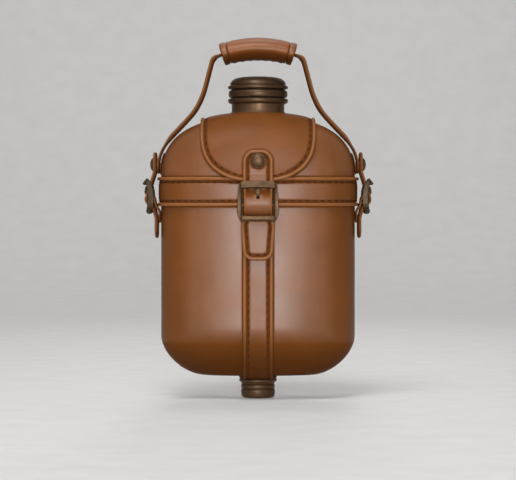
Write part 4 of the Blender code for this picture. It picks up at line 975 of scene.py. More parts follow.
def loop_of(spots, closed):
    """The line round an outline as (length, across) pairs: a ring, or two sides where it is open."""
    left = [(s, -w) for s, w in spots]
    right = [(s, w) for s, w in spots]
    return left + right[::-1] if closed else left[::-1] + right


def nothing(s):
    """Zero all along a strap."""
    return 0.0


def strap(name, track, where, half, corners, thickness, body, nodes, first=0.0, last=None, sewn=True,
          press=None, welt=None, widen=None, welt_size=None, plain=nothing, buckle_shade=None, edge=None,
          lift=nothing):
    """A leather strap: its sewn strip, its rolled edge and its stitches, all along one track.

    half: half width, a number or a function of the length. corners: corner radius at each end, 0 where the
    strap goes on. press: length at which a stud sits. plain: 1 where it runs unsewn through its buckle.
    """
    last = track.total if last is None else last
    closed = bool(corners[0] and corners[1])
    widen = widen or (lambda spots, inset: spots)
    inset = STRIP_INSET if welt else 0.0
    bounds = (first + (inset if corners[0] else 0.0), last - (inset if corners[1] else 0.0))
    rounds = tuple(corner - inset if corner else 0.0 for corner in corners)

    def width(s):
        return (half(s) if callable(half) else half) + PLAIN_GROWTH * plain(s)

    def line(inset, height, values, step):
        """An even line round the strap at a distance from its edge: its points, normals and values."""
        ring = loop_of(widen(outline(first, last, half, corners, inset), inset), closed)
        points = [where(track, s, x, height(s)) for s, x in ring]
        normals = [(where(track, s, x, MM) - where(track, s, x, 0.0)).normalized() for s, x in ring]
        return even(points, normals, [values(s) for s, x in ring], step, closed)

    spots = widen(outline(first, last, width, corners, inset), inset)
    shares = strip_shares(STRAP_HALF_WIDTH - inset)
    rings, groove_and_shade = [], []
    for s, w in spots:
        front, back = [], []
        smooth = plain(s)
        for share in shares:
            across = share * w
            away = rim_distance(s, across, *bounds, max(width(s) - inset, w), rounds)
            height = face_height(away, thickness / 2, sewn)
            dark = channel_dark(away) if sewn else 0.0
            if smooth:
                pillow = face_height(away, thickness / 2, False) + PLAIN_BULGE * (1.0 - share ** 2)
                height += (pillow - height) * smooth
                # Inside the buckle the channel darkness gives way to the painted shade of the function passed
                # in.
                dark += (buckle_shade(s) - dark) * smooth
            if press is not None:
                reach = math.hypot(s - press, across)
                sunk = 1.0 - smooth_step((reach - STUD_RADIUS) / (1.5 * MM))
                height -= STUD_PRESS * sunk
                # Painted shadow: the leather pressed down round the stud is darkened as a shadow ring.
                dark = max(dark, sunk)
            front.append((across, height))
            back.append((across, -face_height(away, thickness / 2, False)))
            groove_and_shade.append(dark)
        groove_and_shade += [0.4] * len(shares)
        rings.append([where(track, s, across, height) for across, height in front + back[::-1]])
    verts, faces = loft(rings)
    made = piece(name, verts, faces, STRAP_LEATHER, body, nodes, {"groove_and_shade": groove_and_shade})
    if welt:
        size = welt_size or (lambda s: WELT_RADIUS + (PLAIN_EDGE - WELT_RADIUS) * plain(s))
        points, normals, sizes = line(WELT_RADIUS, lift, size, 0.9 * MM)
        verts, faces = sweep(points, normals, sizes, closed)
        # Painted shade on the inner side of the rolled edge, where an edge leather is given.
        shade = [smooth_step(0.7 - 1.6 * math.cos(a)) if edge else 0.0 for a in turns(16)]
        marks = {"groove_and_shade": (shade * (len(verts) // 16 + 1))[:len(verts)]}
        piece(name + "_edge", verts, faces, edge or EDGE_LEATHER, body, welt, marks)
    if sewn:
        points, normals, hidden = line(STITCH_INSET, lambda s: thickness / 2 - CHANNEL_DEPTH, plain, MM)
        stitch_row(name + "_stitches", points, normals, closed, body, hidden)
    return made


def tangent(first, second):
    """The straight run between two circles (centre, radius); a plus radius is passed on the right."""
    (c1, r1), (c2, r2) = first, second
    gap = c2 - c1
    ahead = gap.normalized()
    side = Vector((ahead.y, -ahead.x))
    lean = (r1 - r2) / gap.length
    normal = ahead * lean + side * math.sqrt(max(1.0 - lean * lean, 0.0))
    return c1 + normal * r1, c2 + normal * r2


def turn_at(circles, index):
    """The strap's arrival at a pulley and how far it turns there, clockwise plus."""
    centre = circles[index][0]
    arrive = tangent(circles[index - 1], circles[index])[1] - centre
    leave = tangent(circles[index], circles[index + 1])[0] - centre
    if abs(circles[index][1]) < 1e-9:
        return arrive, 0.0
    return arrive, arrive.angle_signed(leave, 0.0)


def route(stops, step=4.0):
    """A path over pulleys, each (depth, height, signed radius); one that it doesn't touch is passed by."""
    circles = [(Vector((d, z)), r) for d, z, r in stops]
    for index in range(len(circles) - 2, 0, -1):
        if circles[index][1] * turn_at(circles, index)[1] > 0:
            circles.pop(index)
    points = [circles[0][0].copy()]
    for index in range(1, len(circles) - 1):
        arrive, sweep_angle = turn_at(circles, index)
        count = math.ceil(abs(math.degrees(sweep_angle)) / step)
        for i in range(count + 1):
            turn = Matrix.Rotation(-sweep_angle * i / max(count, 1), 2)
            points.append(circles[index][0] + turn @ arrive)
    points.append(circles[-1][0].copy())
    return thinned(points)


def on_mount(matrix):
    """Places a strap's points in a mount's own frame, where -Y is outwards."""
    def where(track, s, across, height):
        spot = track.off(s, height)
        return matrix @ Vector((across, -spot.x, spot.y))
    return where


def mount(x, y, degrees):
    """The frame of a place on the body, turned about the upright axis."""
    return Matrix.Translation((x, y, 0.0)) @ Matrix.Rotation(math.radians(degrees), 4, "Z")


FRONT_MOUNT = mount(0.0, -BODY_HALF_DEPTH, 0.0)
BACK_MOUNT = mount(0.0, BODY_HALF_DEPTH, 180.0)
SIDE_MOUNTS = {"left": mount(-BODY_HALF_WIDTH, 0.0, -90.0), "right": mount(BODY_HALF_WIDTH, 0.0, 90.0)}


def lean_in(z, half):
    """How far the body has curved in at a height, from its widest."""
    return half(z) - half(SHOULDER_Z)


def chape_turn(bar_z):
    """A strap's wrap round the centre bar, from its back over its top to its front."""
    radius = BAR_RADIUS + TURN_GAP + CHAPE_THICKNESS / 2
    angles = [math.radians(6 * i) for i in range(41)]
    return [Vector((BAR_DEPTH - radius * math.cos(a), bar_z + radius * math.sin(a))) for a in angles]


def cut_tongue_hole(made, matrix, bar_z, tall):
    """The punched hole that the buckle's tongue comes through and swings in."""
    height = bar_z + TONGUE_HOLE_HEIGHT - (tall - FRONT_HOLE_TALL) * TONGUE_HOLE_RADIUS
    start, end = (matrix @ Vector((0, -BAR_DEPTH - out, height)) for out in (2 * MM, 20 * MM))
    cut_hole(made, start, end, TONGUE_HOLE_RADIUS, tall)


def cut_chape_hole(made, matrix, bar_z):
    """The slot in a strap's wrap round the centre bar, where the tongue's loop sits."""
    reach = 2 * (BAR_RADIUS + TURN_GAP + 2 * TONGUE_RADIUS)
    start = matrix @ Vector((0, -BAR_DEPTH, bar_z))
    forwards_and_up = matrix.to_3x3() @ Vector((0, -1, 0)) + Vector((0, 0, 1))
    cut_hole(made, start, start + forwards_and_up * reach, CHAPE_HOLE_RADIUS, CHAPE_HOLE_TALL)


def make_front_billet():
    """The strap under the front stud, over the belt, through the front buckle and out below it."""
    roller_z = FRONT_BAR_Z - FRONT_SHAPE["drop"]
    top = FRONT_STUD_Z + STUD_TO_END
    middle = FRONT_STUD_Z + STUD_TO_END / 2
    lifted = SKIN_GAP + FLAP_LIFT
    track = Track(route([
        (FLAP_LIE + lean_in(top, half_depth), top, 0.0),
        (FLAP_LIE + lean_in(middle, half_depth), middle, 0.0),
        (FLAP_LIE + BEND, FRONT_STUD_Z - STUD_RADIUS + MM, BEND),
        (lifted + FLAP_THICKNESS, BELT_TOP_Z + MM, -LAP - 2 * FIT),
        (lifted + WELT_RADIUS, FLAP_TIP_Z + WELT_RADIUS, -OVER_WELT),
        (BAR_DEPTH + HUG + CROWN_PROUD - CROWN_RADIUS, FRONT_BAR_Z - CROWN_BELOW_BAR, -CROWN_RADIUS),
        (BAR_DEPTH + ROLLER_DEPTH, roller_z, ROLLER_HUG),
        (STRAP_OVER_STRAP, roller_z - BEND, 0.0),
        (STRAP_OVER_STRAP, roller_z - FRONT_FREE_END, 0.0),
    ]), 1.0)
    free = track.total - FRONT_FREE_END
    buckle_low = free + MM
    buckle_high = free - (FRONT_SHAPE["drop"] + FRONT_SHAPE["rise"] - 3 * MM)

    def plain(s):
        return smooth_step((s - buckle_high) / (4 * MM)) * smooth_step((buckle_low - s) / (4 * MM))

    # Painted shade on the strap inside the buckle: darker under the top bar and just above the roller.
    def buckle_shade(s):
        by_bar = smooth_step((buckle_high + 11 * MM - s) / (7 * MM))
        by_roller = smooth_step((s - free + 6 * MM) / (4 * MM))
        return 0.75 * max(by_bar, by_roller)

    def half(s):
        spread_out = FREE_END_GROWTH * smooth_step((s - free) / (6 * MM))
        narrowed = FREE_END_TAPER * smooth_step((s - free - 3 * MM) / (FRONT_FREE_END - 8 * MM))
        return STRAP_HALF_WIDTH + spread_out - narrowed - BUCKLE_NARROWING * plain(s)

    made = strap(
        "front_strap_leather", track, on_mount(FRONT_MOUNT), half, (END_CORNER, FREE_CORNER), STRAP_THICKNESS,
        "flask", ["front_billet"], first=END_TRIM, press=STUD_TO_END, welt=["front_billet_welt"],
        plain=plain, buckle_shade=buckle_shade,
    )
    cut_tongue_hole(made, FRONT_MOUNT, FRONT_BAR_Z, FRONT_HOLE_TALL)


def base_path():
    """From the back stud down, under the bottom, up the front and round the front bar."""
    top = FRONT_STUD_Z + STUD_TO_END
    straight = BODY_Z + BOTTOM_RISE_Y
    down = [(LAP + BEND, LOW_WELT_Z - 2 * BEND, BEND), (LAP, straight, 0.0)]
    back = route([
        (FLAP_LIE + lean_in(top, half_depth), top, 0.0),
        (SKIN_GAP + WELT_RADIUS, FLAP_BACK_TIP_Z + WELT_RADIUS, -OVER_WELT),
        (WELT_DEPTH, BELT_TOP_Z - WELT_RADIUS, -OVER_WELT),
        (WELT_DEPTH, LOW_WELT_Z, -OVER_WELT),
        *down,
    ])
    turn = chape_turn(FRONT_BAR_Z)
    front = route([
        (turn[0].x, FRONT_BAR_Z, 0.0),
        (WELT_DEPTH, LOW_WELT_Z, -WELT_RADIUS - FIT - CHAPE_THICKNESS / 2),
        *down,
    ])
    bottom = [skin_point(math.radians(-90), z, LAP) for z in body_rows() if z < straight - MM]
    bottom = [Vector((-p.y, p.z)) for p in bottom]
    out = Vector((BODY_HALF_DEPTH, 0))
    flip = Matrix(((-1, 0), (0, 1)))
    eye = [Vector((EYE_RADIUS * i / 12, BODY_Z - LAP)) for i in range(-12, 13)]
    path = [flip @ (p + out) for p in back] + [flip @ p for p in reversed(bottom)]
    path = thinned(path + eye + bottom + [p + out for p in reversed(front)])
    return path, [p + out for p in turn[1:]]


def make_base_strap():
    """The strap under the flask, with its round eye at the outlet and its loop round the front bar."""
    path, loop = base_path()
    track = Track(path + loop, -1.0)
    edge_end = Track(path, -1.0).total - 24 * MM

    def widen(spots, inset):
        grown = []
        for s, width in spots:
            spot = track.spot(s)
            reach = (EYE_RADIUS + STRIP_INSET + 0.4 * MM - inset) ** 2 - spot.x ** 2
            near = spot.y < BODY_Z and reach > 0
            grown.append((s, max(width, math.sqrt(reach)) if near else width))
        return grown

    where = on_mount(Matrix.Identity(4))
    made = strap(
        "base_strap_leather", track, where, STRAP_HALF_WIDTH, (END_CORNER, 0.0), CHAPE_THICKNESS,
        "flask", ["base_strap"], last=edge_end, press=STUD_TO_END, welt=["base_strap_welt"], widen=widen,
    )
    cut_hole(made, (0, 0, 0), (0, 0, BODY_Z + LAP), OUTLET_RADIUS + FIT)
    made = strap(
        "base_strap_loop", track, where, STRAP_HALF_WIDTH - STRIP_INSET, (0.0, 0.0), CHAPE_THICKNESS,
        "flask", [], first=edge_end, sewn=False,
    )
    cut_chape_hole(made, FRONT_MOUNT, FRONT_BAR_Z)


def make_side_straps(name, matrix):
    """One side's patch, billet and chape."""
    where = on_mount(matrix)
    rest = FIT + PATCH_THICKNESS / 2
    heights = [SIDE_STUD_Z + PATCH_ABOVE - (PATCH_ABOVE + PATCH_BELOW) * i / 24 for i in range(25)]
    patch = Track([Vector((rest + lean_in(z, half_width), z)) for z in heights], 1.0)
    strap(
        name + "_patch_leather", patch, where, PATCH_HALF_WIDTH, (PATCH_BELOW, PATCH_BELOW), PATCH_THICKNESS,
        "flask", [name + "_anchor_patch"], sewn=False,
    )
    roller_z = SIDE_BAR_Z - SIDE_SHAPE["drop"]
    lie = HANDLE_DEPTH + HANDLE_THICKNESS / 2 + LAP
    billet = Track(route([
        (lie, SIDE_STUD_Z + SIDE_STUD_TO_END, 0.0),
        (lie + BEND, SIDE_STUD_Z - STUD_RADIUS + MM, BEND),
        (WELT_DEPTH, BELT_TOP_Z - WELT_RADIUS, -OVER_WELT),
        (BAR_DEPTH, SIDE_BAR_Z, -HUG),
        (BAR_DEPTH + ROLLER_DEPTH, roller_z, ROLLER_HUG),
        (SIDE_FREE_DEPTH, roller_z - BEND, 0.0),
        (SIDE_FREE_DEPTH, roller_z - SIDE_FREE_END, 0.0),
    ]), 1.0)
    made = strap(
        name + "_strap_leather", billet, where, STRAP_HALF_WIDTH, (END_CORNER, END_CORNER), STRAP_THICKNESS,
        "flask", [name + "_billet"], press=SIDE_STUD_TO_END, welt=[name + "_billet_welt"],
        edge=DARK_EDGE_LEATHER,
    )
    cut_tongue_hole(made, matrix, SIDE_BAR_Z, SIDE_HOLE_TALL)
    turn = chape_turn(SIDE_BAR_Z)
    rest = FIT + CHAPE_THICKNESS / 2
    tail = route([
        (turn[0].x, SIDE_BAR_Z, 0.0),
        (WELT_DEPTH, LOW_WELT_Z, -WELT_RADIUS - rest),
        (rest + BEND, LOW_WELT_Z - 1.3 * BEND, BEND),
        (rest, SIDE_BAR_Z - SIDE_TAIL, 0.0),
    ])
    made = strap(
        name + "_chape_leather", Track(tail[::-1] + turn[1:], -1.0), where, CHAPE_HALF_WIDTH,
        (CHAPE_HALF_WIDTH, 0.0), CHAPE_THICKNESS, "flask", [name + "_chape"], sewn=False,
    )
    cut_chape_hole(made, matrix, SIDE_BAR_Z)


# Belt

def make_belt():
    """The waist belt with its raised middle, sewn channels and rolled edges."""
    columns = 320
    angles = [2 * math.pi * (i + 0.5) / columns for i in range(columns)]
    half = BELT_HALF_HEIGHT - STRIP_INSET
    shares = strip_shares(half)
    ring = []
    for share in shares:
        away = half * (1.0 - abs(share))
        height = FIT + STRAP_THICKNESS / 2 + face_height(away, STRAP_THICKNESS / 2, True)
        ring.append((share * half, height, 0.85 * channel_dark(away)))
    ring += [(share * half, FIT, 0.3) for share in reversed(shares)]
    verts = [skin_point(angle, BELT_Z + across, height) for angle in angles for across, height, dark in ring]
    # The belt gets painted shade at the flask's sides.
    marks = {
        "groove_and_shade": [dark for across, height, dark in ring] * columns,
        "painted_shade": [side_shade(v) for v in verts],
    }
    faces = grid_faces(columns, len(ring), wrap_rows=True)
    piece("belt_leather", verts, faces, BELT_LEATHER, "flask", ["waist_belt"], marks)
    for side, name in ((-1, "lower"), (1, "upper")):
        z = BELT_Z + side * (BELT_HALF_HEIGHT - WELT_RADIUS)
        points = [skin_point(a, z, WELT_DEPTH) for a in angles]
        normals = [skin_normal(a, z) for a in angles]
        verts, faces = sweep(points, normals, WELT_RADIUS)
        piece(
            "belt_edge_" + name, verts, faces, EDGE_LEATHER, "flask", ["belt_welt_" + name]
        )
        z = BELT_Z + side * (BELT_HALF_HEIGHT - STITCH_INSET)
        points = [skin_point(a, z, FIT + STRAP_THICKNESS - STITCH_DEPTH) for a in angles]
        points, normals, _ = even(points, normals, [0.0] * columns, MM, True)
        stitch_row("belt_stitches_" + name, points, normals, True, "flask")


# Flap

def flap_edge(z, tip, inset):
    """Half width of the flap at a height above its tip."""
    centre = tip + FLAP_CORNER_HEIGHT
    reach = FLAP_CORNER_HEIGHT - inset
    if z >= centre:
        return FLAP_HALF_WIDTH - inset
    return (FLAP_HALF_WIDTH - inset) * rounded((centre - z) / reach, FLAP_POWER)


def flap_low(angle, inset):
    """The height where a line of the body at this angle meets the flap's edge."""
    tip = FLAP_TIP_Z if math.sin(angle) < 0 else FLAP_BACK_TIP_Z
    low, high = tip + inset, NECK_Z
    for _ in range(30):
        middle = (low + high) / 2
        if abs(surface(angle, middle).x) > flap_edge(middle, tip, inset):
            low = middle
        else:
            high = middle
    return high


def flap_offset(angle, z):
    """Clearance under the flap, which lifts over the belt's edge at the front."""
    if math.sin(angle) > 0:
        return SKIN_GAP
    share = (BELT_TOP_Z + 5.5 * MM - z) / (5.1 * MM)
    return SKIN_GAP + FLAP_LIFT * smooth_step(share)


def flap_point(angle, z, height):
    """A point at a height above the flap's underside."""
    return skin_point(angle, z, flap_offset(angle, z) + height)


def make_flap():
    """The leather flap over the shoulder, its sewn edge and its piping."""
    quarter = 80
    first = [math.radians(90) * (1 - (1 - (i + 0.5) / quarter) ** 1.25) for i in range(quarter)]
    half = first + [math.pi - a for a in reversed(first)]
    angles = half + [a + math.pi for a in half]
    columns = len(angles)
    verts, groove_and_shade = [], []
    for away in INSETS:
        lift = FLAP_THICKNESS + face_height(away, 0.0, True)
        verts += [flap_point(angle, flap_low(angle, STRIP_INSET + away), lift) for angle in angles]
        groove_and_shade += [0.85 * channel_dark(away)] * columns
    starts = [flap_low(angle, STRIP_INSET + INSETS[-1]) for angle in angles]
    rows = 34
    for row in range(1, rows + 1):
        share = row / rows
        for angle, low in zip(angles, starts):
            z = NECK_Z - (NECK_Z - low) * (1.0 - share) ** 2.0
            ripple = 0.07 * MM * noise.noise(surface(angle, z) * 60.0) * min(4 * share, 1.0)
            verts.append(flap_point(angle, z, FLAP_THICKNESS + ripple))
    groove_and_shade += [0.0] * (rows * columns)
    neck_rim = ((24.4 * MM, 0.2 * MM), (23.3 * MM, 0.3 * MM), (NECK_RADIUS + FIT, -0.2 * MM))
    for radius, rise in neck_rim:
        verts += [Vector((radius * math.cos(a), radius * math.sin(a), FLAP_TOP_Z + rise)) for a in angles]
        groove_and_shade += [0.5] * columns
    # Painted shade: the flap is darker towards its top by the neck.
    shaded = [
        SIDE_SHADE * smooth_step((v.z - NECK_Z + FLAP_SHADE_BELOW_NECK) / FLAP_SHADE_REACH)
        for v in verts
    ]
    made = piece(
        "flap_leather_top", verts, grid_faces(len(verts) // columns, columns), FLAP_LEATHER, "flask",
        ["shoulder_flap"], {"groove_and_shade": groove_and_shade, "painted_shade": shaded},
    )
    thicken(made, FLAP_THICKNESS - 0.6 * MM)

    def line(inset, height):
        """An even line along the flap's edge."""
        spots = [(angle, flap_low(angle, inset)) for angle in angles]
        points = [flap_point(angle, z, height) for angle, z in spots]
        normals = [skin_normal(angle, z) for angle, z in spots]
        return even(points, normals, [0.0] * columns, 0.9 * MM, True)[:2]

    points, normals = line(WELT_RADIUS, WELT_RADIUS)
    verts, faces = sweep(points, normals, WELT_RADIUS)
    piece("flap_piping", verts, faces, EDGE_LEATHER, "flask", ["flap_welt"])
    points, normals = line(STITCH_INSET, FLAP_THICKNESS - STITCH_DEPTH)
    stitch_row("flap_stitches", points, normals, True, "flask")


# Metal fittings

def make_cap():
    """The screw cap: a domed top, a thin rolled rim, two thick beads and a plain bore."""
    top = CAP_SHAPE[0][1]
    outside = soften([(r * MM, (z - top) * MM + CAP_TOP_Z) for r, z in CAP_SHAPE])
    bore = [(CAP_BORE, CAP_Z), (CAP_BORE, CAP_TOP_Z - CAP_TOP), (0.0, CAP_TOP_Z - CAP_TOP)]
    verts, faces = lathe(outside + bore, 160)
    piece("cap_turned", verts, faces, SHADED_CAP_METAL, "cap", ["screw_cap"])


def make_neck():
    """The neck ring with its flared foot and the thread that the cap turns on."""
    seat, foot = NECK_SEAT_Z, NECK_SEAT_Z - NECK_SPIGOT_LENGTH
    profile = [
        (NECK_BORE, NECK_TOP_Z - 0.4 * MM), (NECK_BORE + 0.4 * MM, NECK_TOP_Z),
        (NECK_THREAD_RADIUS - 0.5 * MM, NECK_TOP_Z), (NECK_THREAD_RADIUS, NECK_TOP_Z - 0.5 * MM),
        (NECK_THREAD_RADIUS, CAP_Z - FIT), (NECK_RADIUS - 0.4 * MM, CAP_Z - FIT),
        (NECK_RADIUS, CAP_Z - FIT - 0.4 * MM), (NECK_RADIUS, FLAP_TOP_Z + 2.4 * MM),
        (NECK_RADIUS + 0.3 * MM, FLAP_TOP_Z + 1.3 * MM), (NECK_RADIUS + 1.2 * MM, FLAP_TOP_Z + 0.5 * MM),
        (NECK_RADIUS + 1.2 * MM, FLAP_TOP_Z + 0.35 * MM), (NECK_RADIUS, FLAP_TOP_Z + 0.3 * MM),
        (NECK_RADIUS, seat), (NECK_SPIGOT_RADIUS, seat), (NECK_SPIGOT_RADIUS, foot), (NECK_BORE, foot),
    ]
    profile = [tuple(p) for p in along([Vector(p) for p in profile], 0.6 * MM)]
    thread = {
        "low": CAP_Z, "high": NECK_TOP_Z - MM, "radius": NECK_THREAD_RADIUS,
        "pitch": NECK_THREAD_PITCH, "depth": THREAD_DEPTH,
    }
    verts, faces = lathe(profile, closed=True, thread=thread)
    piece("neck_turned", verts, faces, LIT_NECK_METAL, "flask", ["neck_ring"], crease=40.0)


def make_outlet():
    """The lock collar and the drain cap under the bottom."""
    top, inner, outer = COLLAR_Z + COLLAR_HEIGHT, OUTLET_RADIUS + FIT, COLLAR_RADIUS
    rim = soften([
        (outer - 1.2 * MM, top), (outer, top - 1.2 * MM), (outer, COLLAR_Z + 2.0 * MM),
        (outer - 1.6 * MM, COLLAR_Z + 1.2 * MM), (outer - 2.0 * MM, COLLAR_Z),
    ])
    verts, faces = lathe([(inner, top)] + rim + [(inner, COLLAR_Z)], 112, closed=True)
    piece("collar_turned", verts, faces, DARK_BRONZE, "flask", ["outlet_collar"])
    top, outer, round_off = DRAIN_CAP_HEIGHT, DRAIN_CAP_RADIUS, DRAIN_CAP_ROUND
    side = soften([
        (outer - 0.9 * MM, top), (outer - 0.2 * MM, top - 0.5 * MM), (outer, top - 1.4 * MM),
        (outer, top - 3.0 * MM), (outer - 0.7 * MM, top - 3.6 * MM), (outer - 0.7 * MM, top - 4.1 * MM),
        (outer, top - 4.7 * MM), (outer, round_off + MM), (outer - 0.25 * round_off, 0.3 * round_off),
        (outer - round_off, 0.0), (outer - round_off - MM, 0.0),
    ])
    bore = [(0.0, DRAIN_CAP_FLOOR), (inner, DRAIN_CAP_FLOOR), (inner, top)]
    verts, faces = lathe(bore + side + [(0.0, 0.0)], 112)
    piece("drain_cap_turned", verts, faces, DARK_BRONZE, "drain", ["drain_cap"])


def make_stud(name, matrix, z, face, back):
    """A domed rivet with a fine raised rim, its shank going in from the leather's face to its back."""
    steps = [math.radians(9 * i) for i in range(10)]
    dome = [(0.9 * STUD_RADIUS * math.sin(a), STUD_HEIGHT * math.cos(a) ** 0.85) for a in steps]
    rim = soften([
        (0.90 * STUD_RADIUS, 0.75 * MM), (0.96 * STUD_RADIUS, 0.8 * MM), (STUD_RADIUS, 0.45 * MM),
        (STUD_RADIUS, 0.0),
    ], 1)
    low, end = -0.2 * MM, back - face
    under = [(STUD_RADIUS, low), (SHANK_RADIUS, low), (SHANK_RADIUS, end), (0.0, end)]
    place = matrix @ Matrix.Translation((0, -face - FIT, z)) @ Matrix.Rotation(math.radians(90), 4, "X")
    verts, faces = lathe(dome + rim[:-1] + under, 72, place=place)
    piece(name + "_domed", verts, faces, BUCKLE_BRONZE, "flask", [name])


def buckle_side(shape, side):
    """One cheek of a buckle: widest by the strap, narrowed to its roller and its top."""
    top, tip, low = shape["rise"] / MM, shape["tip"] / MM, -shape["drop"] / MM
    depth, roller = shape["depth"] / MM, ROLLER_DEPTH / MM
    levels = [
        # height, off the inner side, off the outer side, inner depth, outer depth, all in millimetres
        (low - 1.8, 0.6, -2.6, roller - 1.6, roller + 1.2),
        (low + 0.6, 0.5, -1.7, roller - 2.4, roller + 2.0),
        (low + 3.4, 0.1, -0.3, -1.6, roller + 1.7),
        (low + 6.5, 0.0, 0.2, -2.0, 3.3),
        (0.0, 0.0, -0.1, -2.2, 3.1),
        (0.5 * tip, 0.0, -0.4, -1.6, 3.3),
        (0.8 * tip, 0.0, -0.9, -0.6, 4.0),
        (tip + 0.4, -0.2, -1.0, 0.6, TIP_DEPTH / MM - 0.9),
        (top - 1.8, -0.4, -1.8, depth + 0.1, depth + 1.7),
    ]
    rings = []
    for z, inner, outer, near, far in levels:
        x1, x2 = PLATE_INNER + inner * MM, PLATE_INNER + PLATE_THICKNESS + outer * MM
        corners = ((x1, near), (x2, near), (x2, far), (x1, far))
        rings.append([Vector((side * x, -d * MM, z * MM)) for x, d in corners])
    return loft(rings)


def buckle_top(shape):
    """The top bar: flat, sloping out from the strap to its lower lip, slightly bowed up."""
    high = Vector((shape["depth"], shape["rise"] - 0.9 * MM))
    low = Vector((TIP_DEPTH, shape["tip"] - 2.2 * MM))
    slope = (low - high).normalized()
    out = Vector((-slope.y, slope.x)) * TOP_BAR_THICKNESS
    corners = [high, low, low + out, high + out * 0.8]
    reach = PLATE_INNER + PLATE_THICKNESS - 3.0 * MM
    rings = []
    for i in range(13):
        x = reach * (i / 6 - 1)
        bow = 0.9 * MM * (1 - (x / reach) ** 2) - 0.4 * MM
        rings.append([Vector((x, -c.x, c.y + bow)) for c in corners])
    return loft(rings)


def bar_loft(x_reach, depth, z, radius):
    """A plain round bar across a buckle."""
    rings = []
    for x in (-x_reach, x_reach):
        circle = [(radius * math.cos(a), radius * math.sin(a)) for a in turns(24)]
        rings.append([Vector((x, out - depth, z + up)) for out, up in circle])
    return loft(rings)


def make_buckle(name, matrix, bar_z, shape, finish):
    """A cast roller buckle: the frame melted into one body, its roller and its tongue."""
    place = matrix @ Matrix.Translation((0, -BAR_DEPTH, bar_z))
    reach = PLATE_INNER + PLATE_THICKNESS / 2
    verts, faces = join([
        buckle_side(shape, -1), buckle_side(shape, 1), buckle_top(shape),
        bar_loft(reach, 0.0, 0.0, BAR_RADIUS),
        bar_loft(reach, ROLLER_DEPTH, -shape["drop"], BAR_RADIUS),
    ])
    verts = [place @ v for v in verts]
    made = piece(name + "_buckle_cast", verts, faces, finish, "flask", [name + "_buckle"])
    melt = made.modifiers.new("melt", "REMESH")
    melt.mode = "VOXEL"
    melt.voxel_size = MELT_VOXEL
    melt.use_smooth_shade = True
    ease = made.modifiers.new("ease", "SMOOTH")
    ease.factor = 0.5
    ease.iterations = MELT_EASING
    bake_modifiers(made)
    mark_cheek_shade(made.data, place, shape)
    make_roller(name, place, shape, finish)
    make_tongue(name, place)


def mark_cheek_shade(mesh, place, shape):
    """Painted shade on a buckle's cheeks beside the strap, below its top bar, which is left unshaded."""
    local = place.inverted()
    cheek_shade = []
    for vertex in mesh.vertices:
        spot = local @ vertex.co
        beside = 1.0 - smooth_step((abs(spot.x) - PLATE_INNER - 1.0 * MM) / (1.6 * MM))
        cheek_shade.append(0.85 * beside * smooth_step((shape["tip"] - spot.z) / (2 * MM)))
    mesh.attributes.new("groove_and_shade", "FLOAT", "POINT").data.foreach_set("value", cheek_shade)


def make_roller(name, place, shape, finish):
    """A sleeve with eased ends on the lower bar."""
    half, bore, radius = PLATE_INNER + 0.5 * MM, BAR_RADIUS + TURN_GAP, ROLLER_RADIUS
    low = [
        (bore, -half), (radius - 0.5 * MM, -half), (radius, 0.6 * MM - half),
        (radius + 0.1 * MM, 2 * MM - half), (radius, -0.4 * half),
    ]
    high = [(r, -z) for r, z in reversed(low)]
    spin = Matrix.Translation((0, -ROLLER_DEPTH, -shape["drop"])) @ Matrix.Rotation(math.radians(90), 4, "Y")
    verts, faces = lathe(low + high, 48, closed=True, place=place @ spin)
    body = name + "_roller"
    piece(body + "_turned", verts, faces, finish, body, [body])


def make_tongue(name, place):
    """The tongue: an open loop round the bar, then out through the strap to a drop-shaped tip."""
    radius = BAR_RADIUS + 0.75 * TURN_GAP + TONGUE_RADIUS
    angles = [math.radians(-50 - 8 * i) for i in range(29)]
    loop = [Vector((0, -radius * math.cos(a), radius * math.sin(a))) for a in angles]
    out = [(2.6 * MM, radius + 0.6 * MM)] + [(y * MM, z * MM) for y, z in TONGUE_LINE]
    points = along(loop + [Vector((0, -y, z)) for y, z in out], 0.5 * MM)
    for _ in range(6):
        middle = [(a + 2 * b + c) / 4 for a, b, c in zip(points, points[1:], points[2:])]
        points = points[:1] + middle + points[-1:]
    spots = [place @ p for p in points]
    across = place.to_3x3() @ Vector((1, 0, 0))
    count, sides = len(spots), 20
    normals = []
    for i in range(count):
        run = spots[min(i + 1, count - 1)] - spots[max(i - 1, 0)]
        normals.append(run.cross(across).normalized())
    verts, faces = sweep(spots, normals, TONGUE_RADIUS, closed=False, sides=sides)
    for i in range(count):
        spread = DROP_SPREAD * smooth_step((i / count - DROP_START) / DROP_LENGTH)
        for index in range(i * sides, (i + 1) * sides):
            off = (verts[index] - spots[i]).dot(across)
            verts[index] = verts[index] + across * off * spread
    body = name + "_tongue"
    piece(body + "_forged", verts, faces, BUCKLE_BRONZE, body, [body])


# Handle

def handle_path():
    """The strap's line from the right stud over the grip to the left, as (x, height above the hinge)."""
    start = BODY_HALF_WIDTH + HANDLE_DEPTH
    grip = GRIP_Z - SIDE_STUD_Z - GRIP_ARC_RADIUS
    entry = GRIP_ARC_RADIUS - ENTRY_RADIUS
    half = [
        (start, -HANDLE_END_RADIUS, 0.0),
        (start - SHOULDER_PULLEY, SHOULDER_Z + PULLEY_ABOVE_SHOULDER - SIDE_STUD_Z, SHOULDER_PULLEY),
        (HOLLOW_X, grip + GRIP_ARC_RADIUS - HOLLOW_BELOW_GRIP, -HOLLOW_RADIUS),
        (entry * math.sin(ENTRY_ANGLE), grip + entry * math.cos(ENTRY_ANGLE), ENTRY_RADIUS),
    ]
    far = [(-x, z, r) for x, z, r in reversed(half)]
    return route(half + [(0.0, grip, GRIP_ARC_RADIUS)] + far, 3.0)


